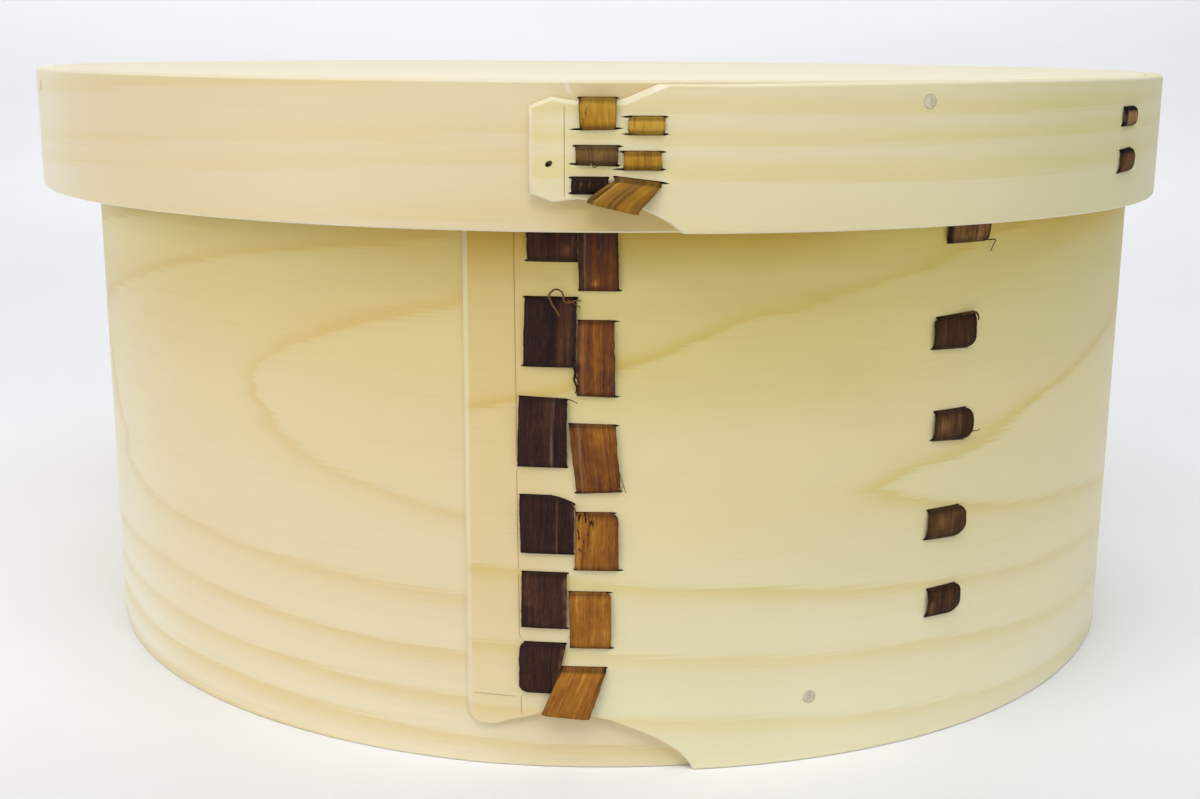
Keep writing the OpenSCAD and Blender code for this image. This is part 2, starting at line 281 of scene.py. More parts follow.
def lens(ring, b0, b1, zl, zr, past, lip, knee=0.0):
    """A knife slit: as high as the strip in it, with thin cuts that run past it to a point at each end.
    lip is how far the thin cuts lie from its middle. Clockwise, in flat millimetres."""
    x0, x1 = b0 * ring.k, b1 * ring.k
    p0, p1 = max(past[0], 0.16), max(past[1], 0.16)
    mid = np.linspace(x0 + 0.45, x1 - 0.45, 8)
    x = np.concatenate([[x0 - p0, x0 - 0.55 * p0, x0 - 0.03], mid, [x1 + 0.03, x1 + 0.55 * p1, x1 + p1]])
    w = np.concatenate([[0.0, 0.11, 0.17], np.full(8, 0.36), [0.17, 0.11, 0.0]])
    c = np.concatenate([[lip, lip, lip], np.zeros(8), [lip, lip, lip]])
    z = zl + (zr - zl) * kneed((x - x0) / (x1 - x0), knee) + c
    up = np.stack([x, z + w], 1)
    dn = np.stack([x, z - w], 1)[1:-1]
    return np.concatenate([up, dn[::-1]])


def round_hole(ring, a, z, r, n=20, squash=1.0, turn=0.0):
    t = -np.linspace(0, 2 * math.pi, n, endpoint=False)
    u, v = r * np.cos(t), r * squash * np.sin(t)
    c, s = math.cos(turn), math.sin(turn)
    return np.stack([a * ring.k + u * c - v * s, z + u * s + v * c], 1)


def bent_board(name, ring, outline, slits, rounds, grooves, phase, material, inner_arris, grid_z):
    """outline rows are [s, z, bevel of the outer edge, largest arris, cut] and may end with 1, for a run that stays
    in one piece; the board is bent to the ring's two faces. inner_arris: how much of the upper arris the inner edge has."""
    k = ring.k
    loop = np.array([tuple(row) + (0.0,) * (6 - len(row)) for row in outline], float)
    loop[:, 0] *= k
    loop = resample(loop, 2.6)
    p, bev, big, cut = loop[:, :2], loop[:, 2], loop[:, 3], loop[:, 4]
    sv = p[:, 0] / k
    thick = ring.top(sv) - ring.bot(sv)
    bv = np.minimum(big, 0.3 * thick)
    be = 0.5 * (bv + np.roll(bv, -1))
    crisp = np.where(p[:, 1] > ring.z1 - 1.0, inner_arris, 1.0)
    loops = [(p, bev, bv, be, thick, cut, 3, crisp)]
    for h, wall in slits:
        n = len(h)
        th = ring.top(h[:, 0] / k) - ring.bot(h[:, 0] / k)
        loops.append((h, np.zeros(n), np.full(n, 0.06), np.full(n, 0.06), th, np.full(n, wall), 1, np.ones(n)))
    for h, wall in rounds:
        n = len(h)
        th = ring.top(h[:, 0] / k) - ring.bot(h[:, 0] / k)
        loops.append((h, np.zeros(n), np.full(n, 0.05), np.full(n, 0.05), th, np.full(n, wall), 1, np.ones(n)))
    gs = np.arange(ring.tip + 0.7, ring.s1, 1.6)
    gz = np.arange(ring.z0 + grid_z * 0.5, ring.z1, grid_z)
    grid = np.array([(s * k + (0.25 * grid_z if j % 2 else 0.0), z) for j, z in enumerate(gz) for s in gs])
    top_loops = [offset_loop(q[0], q[1] + q[3]) for q in loops]
    bot_loops = [offset_loop(q[0], q[3] * q[7]) for q in loops]
    lines, sink = [], []
    for path, half, depth in grooves:
        path = np.array(path, float)
        path[:, 0] *= k
        n = max(3, int(np.linalg.norm(path[-1] - path[0]) / 2.5))
        t = np.linspace(0, 1, n)
        seg = np.linspace(0, 1, len(path))
        mid = np.stack([np.interp(t, seg, path[:, 0]), np.interp(t, seg, path[:, 1])], 1)
        d = path[-1] - path[0]
        d /= np.linalg.norm(d)
        side = np.array([d[1], -d[0]]) * half
        for off, dep in ((-1.0, 0.0), (0.0, depth), (1.0, 0.0)):
            lines.append(mid + side * off)
            fade_ends = np.ones(n)
            fade_ends[0] = fade_ends[-1] = 0.25
            sink.append(dep * fade_ends)
    tv, tt = triangulate(top_loops[0], top_loops[1:], lines, grid)
    bvv, bt = triangulate(bot_loops[0], bot_loops[1:], [], grid)
    nt = len(tv)
    deep = np.zeros(nt)
    base = sum(len(l) for l in top_loops)
    groove = np.zeros(nt)
    for line, dep in zip(lines, sink):
        deep[base:base + len(line)] = dep
        groove[base:base + len(line)] = (dep > 0).astype(float)
        base += len(line)

    S, R, Z, N, cuts, edges = [], [], [], [], [], []

    def slope(f, s):
        return (f(s + 0.05) - f(s - 0.05)) / (0.1 * k)

    def axes(s):
        a = np.radians(s)
        zero = np.zeros_like(a)
        return (np.stack([np.sin(a), -np.cos(a), zero], 1), np.stack([np.cos(a), np.sin(a), zero], 1))

    def put(s, r, z, n, c, e):
        S.append(s); R.append(r); Z.append(z); N.append(n); cuts.append(c); edges.append(e)

    s = tv[:, 0] / k
    rad, tan = axes(s)
    n = rad - slope(ring.top, s)[:, None] * tan
    put(s, ring.top(s) - deep, tv[:, 1], n, np.zeros(nt), np.zeros(nt))
    s = bvv[:, 0] / k
    rad, tan = axes(s)
    n = -rad + slope(ring.bot, s)[:, None] * tan
    put(s, ring.bot(s), bvv[:, 1], n, np.zeros(len(bvv)), np.zeros(len(bvv)))
    faces = [tuple(f) for f in tt] + [tuple(f[::-1] + nt) for f in bt]
    count = nt + len(bvv)
    t0 = b0 = 0
    for (q, bev_, bv_, be_, th_, cut_, steps, crisp_), tl, bl in zip(loops, top_loops, bot_loops):
        m = len(q)
        rings = [np.arange(t0, t0 + m)]
        nrm = edge_normals(q)
        vn = nrm + np.roll(nrm, 1, 0)
        vn /= np.maximum(np.linalg.norm(vn, axis=1), 1e-6)[:, None]
        bevv = np.maximum(bev_, np.roll(bev_, 1))
        tilt = np.arctan2(bevv, np.maximum(th_, 0.2))
        made = []
        for j in range(1, steps + 1):
            f = 0.5 * math.pi * j / steps
            made.append(("t", f))
        for j in range(steps, 0, -1):
            f = 0.5 * math.pi * j / steps
            made.append(("b", f))
        for side, f in made:
            if side == "t":
                pos = offset_loop(q, bev_ + be_ * (1.0 - math.sin(f)))
            else:
                pos = offset_loop(q, be_ * crisp_ * (1.0 - math.sin(f)))
            s = pos[:, 0] / k
            rad, tan = axes(s)
            dep = bv_ * (1.0 - math.cos(f))
            r = ring.top(s) - dep if side == "t" else ring.bot(s) + dep * crisp_
            out3 = vn[:, :1] * tan + vn[:, 1:] * np.array([0.0, 0.0, 1.0])
            if side == "t":
                ang = f * (1.0 - tilt / (0.5 * math.pi))
                nn = np.cos(ang)[:, None] * rad + np.sin(ang)[:, None] * out3
            elif f > 1.5:
                nn = np.sin(tilt)[:, None] * rad + np.cos(tilt)[:, None] * out3
            else:
                nn = -math.cos(f) * rad + math.sin(f) * out3
            # pale marks the rounded edges of the outline and the wide bevels, such as the tongue's tip, for a painted
            # highlight there
            pale = np.full(m, 1.0 if steps > 1 and f < 1.5 else 0.0)
            if f > 1.5:
                pale = np.where(bevv > 0.3, 1.0 if side == "t" else 0.7, pale)
            put(s, r, pos[:, 1], nn, cut_ * (1.0 if f > 1.5 else 0.4), pale)
            rings.append(np.arange(count, count + m))
            count += m
        rings.append(np.arange(nt + b0, nt + b0 + m))
        for ra, rb in zip(rings[:-1], rings[1:]):
            for i in range(m):
                j = (i + 1) % m
                faces.append((ra[i], rb[i], rb[j], ra[j]))
        t0 += m
        b0 += m
    S, R, Z = np.concatenate(S), np.concatenate(R), np.concatenate(Z)
    N = np.concatenate(N)
    N /= np.linalg.norm(N, axis=1)[:, None]
    h = 0.4
    ph = phase(S, Z)
    gu = (phase(S + h / k, Z) - phase(S - h / k, Z)) / (2 * h)
    gz_ = (phase(S, Z + h) - phase(S, Z - h)) / (2 * h)
    grad = np.maximum(np.hypot(gu, gz_), 0.02)
    return make_mesh(
        name, ring.xyz(S, R, Z), faces, material, N,
        {"ring": ph, "rgrad": grad, "cut": np.concatenate(cuts), "arris": np.concatenate(edges),
         "scribe": np.concatenate([groove, np.zeros(len(S) - nt)])},
        {"gvec": np.stack([S * k, Z, R], 1)},
    )


# ---------------------------------------------------------------- materials
def new_material(name):
    m = bpy.data.materials.new(name)
    m.use_nodes = True
    nt = m.node_tree
    nt.nodes.clear()
    return m, nt


class Net:
    """Short names for the nodes that the materials use."""

    def __init__(self, nt):
        self.nt = nt

    def node(self, kind, **props):
        n = self.nt.nodes.new(kind)
        for key, val in props.items():
            setattr(n, key, val)
        return n

    def put(self, socket, value):
        if isinstance(value, bpy.types.NodeSocket):
            self.nt.links.new(value, socket)
        elif value is not None:
            socket.default_value = value

    def attr(self, name, kind="Fac"):
        n = self.node("ShaderNodeAttribute", attribute_name=name, attribute_type="GEOMETRY")
        return n.outputs[kind]

    def math(self, op, a, b=None, c=None, clamp=False):
        n = self.node("ShaderNodeMath", operation=op, use_clamp=clamp)
        for i, v in enumerate((a, b, c)):
            if v is not None:
                self.put(n.inputs[i], v)
        return n.outputs[0]

    def scale(self, v, xyz):
        n = self.node("ShaderNodeVectorMath", operation="MULTIPLY")
        self.put(n.inputs[0], v)
        n.inputs[1].default_value = xyz
        return n.outputs[0]

    def add(self, v, xyz):
        n = self.node("ShaderNodeVectorMath", operation="ADD")
        self.put(n.inputs[0], v)
        self.put(n.inputs[1], xyz)
        return n.outputs[0]

    def noise(self, v, scale=1.0, detail=2.0, rough=0.5, distort=0.0, out="Fac"):
        n = self.node("ShaderNodeTexNoise", noise_dimensions="3D")
        self.put(n.inputs["Vector"], v)
        n.inputs["Scale"].default_value = scale
        n.inputs["Detail"].default_value = detail
        n.inputs["Roughness"].default_value = rough
        n.inputs["Distortion"].default_value = distort
        return n.outputs[out]

    def span(self, v, a, b, c=0.0, d=1.0, smooth=True):
        n = self.node("ShaderNodeMapRange", interpolation_type="SMOOTHSTEP" if smooth else "LINEAR")
        n.clamp = True
        self.put(n.inputs["Value"], v)
        for key, val in (("From Min", a), ("From Max", b), ("To Min", c), ("To Max", d)):
            n.inputs[key].default_value = val
        return n.outputs[0]

    def mix(self, f, a, b, blend="MIX"):
        n = self.node("ShaderNodeMix", data_type="RGBA", blend_type=blend)
        n.clamp_factor = True
        self.put(n.inputs[0], f)
        self.put(n.inputs[6], a if isinstance(a, bpy.types.NodeSocket) else (*a, 1.0))
        self.put(n.inputs[7], b if isinstance(b, bpy.types.NodeSocket) else (*b, 1.0))
        return n.outputs[2]

    def ramp(self, f, stops):
        n = self.node("ShaderNodeValToRGB")
        el = n.color_ramp.elements
        while len(el) < len(stops):
            el.new(0.5)
        for e, (pos, col) in zip(el, stops):
            e.position = pos
            e.color = (*col, 1.0)
        self.put(n.inputs[0], f)
        return n.outputs[0]

    def bump(self, h, strength, distance, normal=None):
        n = self.node("ShaderNodeBump")
        n.inputs["Strength"].default_value = strength
        n.inputs["Distance"].default_value = distance
        self.put(n.inputs["Height"], h)
        if normal is not None:
            self.put(n.inputs["Normal"], normal)
        return n.outputs[0]

    def finish(self, color, rough, normal, specular=0.3, ior=1.45, sheen=0.0):
        b = self.node("ShaderNodeBsdfPrincipled")
        self.put(b.inputs["Base Color"], color)
        self.put(b.inputs["Roughness"], rough)
        b.inputs["Specular IOR Level"].default_value = specular
        b.inputs["IOR"].default_value = ior
        b.inputs["Sheen Weight"].default_value = sheen
        b.inputs["Sheen Roughness"].default_value = 0.45
        if normal is not None:
            self.put(b.inputs["Normal"], normal)
        o = self.node("ShaderNodeOutputMaterial")
        self.nt.links.new(b.outputs[0], o.inputs["Surface"])


PALE = ((0.895, 0.835, 0.595), (0.880, 0.805, 0.545))  # the two tones of early wood, near the bark
CREAM = ((0.840, 0.735, 0.480), (0.820, 0.705, 0.435))
TOP = ((0.855, 0.800, 0.590), (0.840, 0.775, 0.550))
LATE = (0.765, 0.605, 0.150)
LATE_PINK = (0.800, 0.635, 0.270)
OCHRE = (0.655, 0.470, 0.125)
# painted shade inside the slits and holes, and a little on the cut edges
SHADE_IN_CUTS = (0.050, 0.026, 0.014)


def wood_colour(g, ring, grad, vec, strength, early, side=None):
    """Planed softwood: soft year lines with one sharper side, long fibres and faint clouds."""
    sway = g.math("MULTIPLY", g.math("SUBTRACT", g.noise(g.scale(vec, (0.016, 0.07, 0.07)), 1.0, 2.0), 0.5), 0.30)
    ph = g.math("ADD", ring, sway)
    f = g.math("SUBTRACT", g.math("FRACT", g.math("ADD", ph, 0.5)), 0.5)
    fibre = g.noise(g.scale(vec, (0.030, 1.9, 1.9)), 1.0, 3.0, 0.62)
    dist = g.math("MULTIPLY_ADD", g.math("SUBTRACT", fibre, 0.5), 3.6, g.math("DIVIDE", f, grad))
    soft = g.span(dist, 0.0, 2.6, 1.0, 0.0)
    crisp = g.span(dist, -0.9, 0.0, 0.0, 1.0)
    line = g.math("MULTIPLY", soft, crisp)
    wide = g.math("MULTIPLY", g.span(dist, 0.0, 6.5, 1.0, 0.0), g.span(dist, -2.0, 0.0, 0.0, 1.0))
    fade = g.span(g.noise(g.scale(vec, (0.010, 0.045, 0.03)), 1.0, 1.0), 0.30, 0.66, 0.65, 1.0)
    hair = g.noise(g.scale(vec, (0.11, 6.5, 6.5)), 1.0, 2.0, 0.6)
    cloud = g.noise(g.scale(vec, (0.007, 0.035, 0.03)), 1.0, 2.0)
    base = g.mix(g.span(cloud, 0.32, 0.68), *early)
    late = g.mix(g.span(cloud, 0.35, 0.65) if side is None else side, LATE, LATE_PINK)
    amount = g.math("MULTIPLY", g.math("ADD", g.math("MULTIPLY", line, 0.41), g.math("MULTIPLY", wide, 0.24)), fade)
    amount = g.math("MULTIPLY", amount, strength)
    col = g.mix(amount, base, late)
    streak = g.math("MULTIPLY", g.span(fibre, 0.50, 0.78, 0.0, 1.0), 0.14)
    col = g.mix(streak, col, LATE)
    col = g.mix(g.span(hair, 0.62, 0.84, 0.0, 0.13), col, (0.90, 0.80, 0.58))
    fleck = g.noise(g.scale(vec, (0.30, 2.2, 2.2)), 1.0, 1.0)
    col = g.mix(g.span(fleck, 0.75, 0.84, 0.0, 0.13), col, LATE)
    height = g.math("ADD", g.math("MULTIPLY", fibre, 0.7), g.math("ADD", g.math("MULTIPLY", hair, 0.35), g.math("MULTIPLY", line, 0.25)))
    return col, height, fibre


def hoop_material(name, strength, ring, early, tones, warm, toned, mark=None):
    """tones: how the board deepens over its height, painted shade that grows to ochre towards the lid; warm: how its
    outer end is tinted; toned: how far the inner ply deepens up to the tongue and under it, low and high, partly its
    own tone and partly painted shade; mark: a pale rub on it."""
    m, nt = new_material(name)
    g = Net(nt)
    vec = g.attr("gvec", "Vector")
    sep = g.node("ShaderNodeSeparateXYZ")
    g.put(sep.inputs[0], vec)
    side = g.span(sep.outputs[0], 150.0 * ring.k, 230.0 * ring.k)
    faint = g.math("MULTIPLY", g.math("SUBTRACT", 1.0, side), g.span(sep.outputs[1], 15.0, 55.0, 0.42, 0.0))
    lines = g.math("MULTIPLY", g.math("SUBTRACT", 1.0, faint), strength)
    col, height, fibre = wood_colour(g, g.attr("ring"), g.attr("rgrad"), vec, lines, early, side)
    col = g.mix(1.0, col, g.mix(side, (1.03, 1.035, 0.985), (1.03, 0.995, 1.0)), "MULTIPLY")
    col = g.mix(g.span(sep.outputs[0], -8.5 * ring.k, -2.0 * ring.k, 1.0, 0.0), col, g.mix(1.0, col, warm, "MULTIPLY"))

    def zone(a, b, c, d, lo=0.0):
        return g.math("MULTIPLY", g.span(sep.outputs[0], a * ring.k, b * ring.k, lo, 1.0), g.span(sep.outputs[0], c * ring.k, d * ring.k, 1.0, 0.0))

    def rows(f, a, b, c, d):
        return g.math("MULTIPLY", f, g.math("MULTIPLY", g.span(sep.outputs[1], a, b), g.span(sep.outputs[1], c, d, 1.0, 0.0)))

    def tint(f, c):
        return g.mix(f, col, g.mix(1.0, col, c, "MULTIPLY"))

    # painted sheen: the left side, seen edge-on, is made paler and bluer, as if catching reflected light
    col = tint(zone(255.0, 288.0, 296.0, 318.0), (1.04, 1.13, 1.29))
    plain = g.mix(1.0, col, (0.95, 0.885, 0.75), "MULTIPLY")
    drift = g.math("MULTIPLY", g.math("SUBTRACT", g.noise(g.scale(vec, (0.008, 0.02, 0.02)), 1.0, 1.0), 0.5), 0.10)
    up = g.math("ADD", g.math("MULTIPLY_ADD", sep.outputs[1], 1.0 / (ring.z1 - ring.z0), -ring.z0 / (ring.z1 - ring.z0)), drift, clamp=True)
    # painted shade: the board deepens over its height towards the lid, which shades it (the lid's own tones are flat)
    col = g.mix(1.0, col, g.ramp(up, [((z - ring.z0) / (ring.z1 - ring.z0), c) for z, c in tones]), "MULTIPLY")
    if ring is BODY:
        # round the back and on the left, the painted shade under the lid is eased off above 80 mm
        col = tint(rows(zone(150.0, 230.0, 325.0, 345.0), 80.0, 93.0, 200.0, 201.0), (1.0, 1.06, 1.28))
        col = tint(rows(zone(-14.0, 4.0, 18.0, 38.0, 0.35), 57.0, 72.0, 82.0, 88.0), (0.91, 0.89, 0.77))
        col = tint(rows(zone(24.0, 36.0, 60.0, 100.0), 58.0, 74.0, 88.0, 94.0), (0.91, 0.94, 0.92))
        col = tint(rows(zone(10.0, 20.0, 45.0, 70.0), -2.0, -1.0, 22.0, 36.0), (1.04, 1.035, 1.07))
        # painted shade: ochre just under the lid's lower edge, around the lap and further to the right
        col = tint(rows(g.math("ADD", zone(-15.0, -13.0, 12.0, 25.0), zone(34.0, 46.0, 60.0, 85.0)), 86.5, 96.0, 200.0, 201.0), (0.87, 0.765, 0.42))
        # the deepening over the height and the tints above, which hold the painted shade under the lid, show only on
        # the outside, up to the lid's lower edge; under the lid and inside the wood stays plain
        wave = g.math("MULTIPLY_ADD", g.math("SUBTRACT", g.noise(g.scale(vec, (0.03, 0.03, 0.03)), 1.0, 2.0), 0.5), 1.6, sep.outputs[1])
        painted_shade_zone = g.math("MULTIPLY", g.span(sep.outputs[2], ring.inside + 0.5, ring.r - 1.3), g.span(wave, 96.6, 99.4, 1.0, 0.0))
        col = g.mix(painted_shade_zone, plain, col)
    else:
        col = tint(zone(24.0, 45.0, 90.0, 130.0), (0.88, 0.92, 0.86))
        col = tint(zone(298.0, 310.0, 326.0, 340.0), (0.96, 0.95, 0.93))
    # the inner ply deepens to OCHRE up to the tongue and under it: partly its own tone, partly painted shade under the
    # tongue and the bark strips
    x0 = (360.0 + ring.tip) * ring.k
    for a, b, (low, high) in ((x0 - 26.0 * ring.k, x0, toned[0]), (x0, x0 + 5.5 * ring.k, toned[1])):
        amount = g.math("MULTIPLY", g.span(sep.outputs[0], a, b), g.span(sep.outputs[1], 99.0, 111.0, low, high))
        col = g.mix(amount, col, OCHRE)
    if mark is not None:
        za, aa, zb, ab = mark
        xa, xb = (360.0 + aa) * ring.k, (360.0 + ab) * ring.k
        line = g.math("MULTIPLY_ADD", sep.outputs[1], (xb - xa) / (zb - za), xa - za * (xb - xa) / (zb - za))
        off = g.math("ABSOLUTE", g.math("SUBTRACT", sep.outputs[0], line))
        rub = g.math("MULTIPLY", g.span(off, 0.1, 0.6, 1.0, 0.0), g.span(sep.outputs[1], zb - 0.4, zb + 0.5, 0.0, 0.6))
        col = g.mix(rub, col, (0.88, 0.80, 0.66))
    # painted highlight along the rounded edges and wide bevels, carried by the arris attribute
    col = g.mix(g.math("MULTIPLY", g.attr("arris"), 0.55), col, (0.92, 0.86, 0.69))
    col = g.mix(g.math("MULTIPLY", g.attr("scribe"), 0.85), col, (0.330, 0.180, 0.065))
    # painted shade: the walls of the slits and holes are darkened nearly to black, the cut edges a little
    col = g.mix(g.attr("cut"), col, SHADE_IN_CUTS)
    rough = g.span(fibre, 0.2, 0.8, 0.46, 0.62, False)
    g.finish(col, rough, g.bump(height, 0.22, 0.00012), 0.32, sheen=0.25)
    return m


def board_material(name, y0, z0, lean, spacing, early):
    """A flat-sawn plank: year rings round an axis that runs along X, well below or above the board."""
    m, nt = new_material(name)
    g = Net(nt)
    pos = g.node("ShaderNodeTexCoord").outputs["Object"]
    vec = g.scale(pos, (1000.0, 1000.0, 1000.0))
    sep = g.node("ShaderNodeSeparateXYZ")
    g.put(sep.inputs[0], vec)
    bend = g.math("MULTIPLY", g.math("SUBTRACT", g.noise(g.scale(vec, (0.006, 0.012, 0.012)), 1.0, 2.0), 0.5), 26.0)
    y = g.math("ADD", g.math("ADD", sep.outputs[1], -y0), g.math("ADD", g.math("MULTIPLY", sep.outputs[0], lean), bend))
    z = g.math("ADD", sep.outputs[2], -z0)
    rad = g.math("SQRT", g.math("ADD", g.math("MULTIPLY", y, y), g.math("MULTIPLY", z, z)))
    ring = g.math("DIVIDE", rad, spacing)
    # distance between lines on the face grows where the rings lie flat
    face = g.math("MAXIMUM", g.math("DIVIDE", g.math("ABSOLUTE", y), g.math("MULTIPLY", rad, spacing)), 0.035)
    col, height, fibre = wood_colour(g, ring, face, vec, 1.0, early)
    rough = g.span(fibre, 0.2, 0.8, 0.46, 0.62, False)
    g.finish(col, rough, g.bump(height, 0.22, 0.00012), 0.32, sheen=0.25)
    return m


def bark_material(name, stops, pale, vary):
    """Bark strip: tone runs from dark outer bark to golden inner bark, with fibres and furrows along the strip."""
    m, nt = new_material(name)
    g = Net(nt)
    vec = g.attr("bvec", "Vector")
    fine = g.noise(g.scale(vec, (4.2, 0.12, 2.0)), 1.0, 3.0, 0.62)
    mid = g.noise(g.scale(vec, (1.55, 0.07, 1.0)), 1.0, 3.0, 0.55)
    broad = g.noise(g.scale(vec, (0.55, 0.05, 0.4)), 1.0, 2.0, 0.5)
    patch = g.noise(g.scale(vec, (0.50, 0.34, 0.3)), 1.0, 3.0, 0.6)
    grit = g.noise(g.scale(vec, (6.5, 0.60, 3.0)), 1.0, 2.0, 0.6)
    tone = g.attr("tone")
    for tex, amount in ((mid, 0.66), (broad, 0.36), (fine, 0.42), (patch, 0.44), (grit, 0.40)):
        tone = g.math("ADD", tone, g.math("MULTIPLY", g.math("SUBTRACT", tex, 0.5), amount * vary))
    col = g.ramp(g.math("ADD", tone, 0.0, clamp=True), stops)
    col = g.mix(g.span(fine, 0.56, 0.78, 0.0, 0.30), col, g.mix(0.40, col, pale))
    col = g.mix(g.span(grit, 0.60, 0.76, 0.0, 0.45), col, g.mix(0.45, col, pale))
    col = g.mix(g.span(mid, 0.40, 0.24, 0.0, 0.70), col, g.mix(0.65, col, (0.010, 0.005, 0.004)))
    fleck = g.noise(g.scale(vec, (1.7, 0.62, 1.4)), 1.0, 1.0)
    col = g.mix(g.math("MULTIPLY", g.span(fleck, 0.58, 0.66), g.attr("fleck")), col, (0.024, 0.010, 0.006))
    col = g.mix(g.attr("pale"), col, pale)
    # dark holds painted shade where strips bend into the slits and in the fold, besides dark edges and spots
    col = g.mix(g.attr("dark"), col, (0.009, 0.005, 0.004))
    height = g.math("ADD", g.math("MULTIPLY", grit, 0.35), g.math("ADD", g.math("MULTIPLY", fine, 0.5), g.math("MULTIPLY", mid, 0.7)))
    rough = g.span(fine, 0.25, 0.75, 0.58, 0.80, False)
    g.finish(col, rough, g.bump(height, 0.6, 0.00025), 0.13)
    return m


def peg_material():
    m, nt = new_material("peg_end_grain")
    g = Net(nt)
    pos = g.scale(g.node("ShaderNodeTexCoord").outputs["Object"], (1000.0, 1000.0, 1000.0))
    grain = g.noise(pos, 3.2, 3.0, 0.6)
    spots = g.noise(pos, 1.1, 2.0)
    col = g.mix(g.span(grain, 0.35, 0.68), (0.700, 0.625, 0.430), (0.765, 0.690, 0.480))
    col = g.mix(g.span(spots, 0.42, 0.66, 0.0, 0.65), col, (0.520, 0.468, 0.345))
    g.finish(col, 0.68, g.bump(grain, 0.4, 0.0002), 0.2)
    return m


def bamboo_material():
    m, nt = new_material("bamboo")
    g = Net(nt)
    pos = g.scale(g.node("ShaderNodeTexCoord").outputs["Object"], (1000.0, 1000.0, 1000.0))
    fibre = g.noise(g.scale(pos, (3.0, 0.08, 3.0)), 1.0, 3.0, 0.6)
    col = g.mix(g.span(fibre, 0.35, 0.68), (0.620, 0.470, 0.205), (0.760, 0.630, 0.330))
    g.finish(col, g.span(fibre, 0.2, 0.8, 0.36, 0.52, False), g.bump(fibre, 0.3, 0.0002), 0.35)
    return m


DARK_STOPS = [(0.0, (0.017, 0.0084, 0.0086)), (0.28, (0.038, 0.0152, 0.0130)), (0.60, (0.086, 0.034, 0.0190)), (1.0, (0.225, 0.098, 0.038))]
GOLD_STOPS = [(0.0, (0.027, 0.010, 0.007)), (0.26, (0.082, 0.035, 0.021)), (0.46, (0.172, 0.055, 0.0150)), (0.64, (0.272, 0.094, 0.0150)), (0.84, (0.405, 0.162, 0.021)), (1.0, (0.530, 0.278, 0.046))]
LID_STOPS = [(0.0, (0.022, 0.010, 0.007)), (0.22, (0.080, 0.038, 0.018)), (0.46, (0.190, 0.098, 0.028)), (0.68, (0.300, 0.140, 0.015)), (0.86, (0.465, 0.232, 0.022)), (1.0, (0.600, 0.350, 0.050))]
BROWN_STOPS = [(0.0, (0.019, 0.009, 0.005)), (0.36, (0.058, 0.0235, 0.0085)), (0.62, (0.132, 0.061, 0.0195)), (0.85, (0.255, 0.128, 0.042)), (1.0, (0.430, 0.255, 0.105))]
# the body's tones are painted shade: it deepens to ochre towards the lid, which shades it
WOOD_BODY = hoop_material(
    "wood_body", 1.0, BODY, PALE,
    [(8.0, (1.0, 1.0, 1.0)), (27.0, (0.961, 0.922, 0.866)), (50.0, (0.927, 0.862, 0.723)), (70.0, (0.920, 0.828, 0.610)),
     (80.0, (0.930, 0.840, 0.560)), (88.0, (0.945, 0.850, 0.490)), (95.0, (0.860, 0.740, 0.310))],
    (0.97, 0.885, 0.825), ((0.03, 0.03), (0.15, 0.15)))
WOOD_LID = hoop_material(
    "wood_lid", 0.64, LID, CREAM, [(96.2, (1.0, 1.0, 1.0)), (120.0, (1.0, 1.0, 1.0))], (1.0, 0.985, 0.97), ((0.24, 0.10), (0.60, 0.37)),
    (120.0, -2.27, 117.9, -1.83))
BARK_DARK = bark_material("bark_dark", DARK_STOPS, (0.300, 0.165, 0.115), 0.9)
BARK_GOLD = bark_material("bark_gold", GOLD_STOPS, (0.470, 0.270, 0.140), 1.0)
BARK_LID = bark_material("bark_lid", LID_STOPS, (0.560, 0.370, 0.150), 0.7)
BARK_BROWN = bark_material("bark_brown", BROWN_STOPS, (0.250, 0.130, 0.070), 0.9)
PEG = peg_material()
BAMBOO = bamboo_material()

# ---------------------------------------------------------------- lacing: what each stitch looks like
# Stitches: low and high edge, left and right edge in degrees at the bottom (b) and top (t),
# drop / rise: how much the right end of the top slit falls and of the bottom slit climbs, knee: where the fall starts,
# crt / crb / clt / clb: rounding of the corners, crown: how far the middle stands off, tone: dark (0) to golden (1),
# low / high: how far the cuts run past the strip on the left and right.


def stitch(z0, z1, b, t=None, **kw):
    d = dict(z0=z0, z1=z1, b=b, t=t or b, drop=0.0, rise=0.0, knee=0.0, crt=0.0, crb=0.0, clt=0.0, clb=0.0, crown=0.22, tone=0.3,
             low=(0.3, 0.5), high=(0.3, 0.5))
    d.update(kw)
    return d


BODY_LEFT = [
    stitch(14.6, 24.0, (-7.95, -4.75), (-7.9, -3.88), tone=0.32, clt=0.8, clb=1.2, low=(0.0, 0.0), high=(0.0, 0.15)),
    stitch(26.65, 36.85, (-7.72, -3.85), (-7.68, -3.82), tone=0.40, low=(0.0, 0.5), high=(0.0, 0.4)),
    stitch(40.2, 50.6, (-7.74, -3.26), (-7.84, -3.2), tone=0.24, drop=1.35, knee=0.55, low=(0.0, 0.3), high=(0.0, 0.2)),
    stitch(55.55, 67.75, (-8.0, -3.84), (-7.85, -3.82), tone=0.28, drop=0.3, low=(0.0, 0.3), high=(0.2, 0.3)),
    stitch(72.9, 84.7, (-7.47, -3.12), (-7.33, -3.04), tone=0.20, low=(0.5, 0.3), high=(0.4, 0.3)),
    stitch(90.6, 98.4, (-7.12, -3.02), (-7.15, -3.02), tone=0.34, low=(0.5, 0.2), high=(0.4, 0.3)),
]
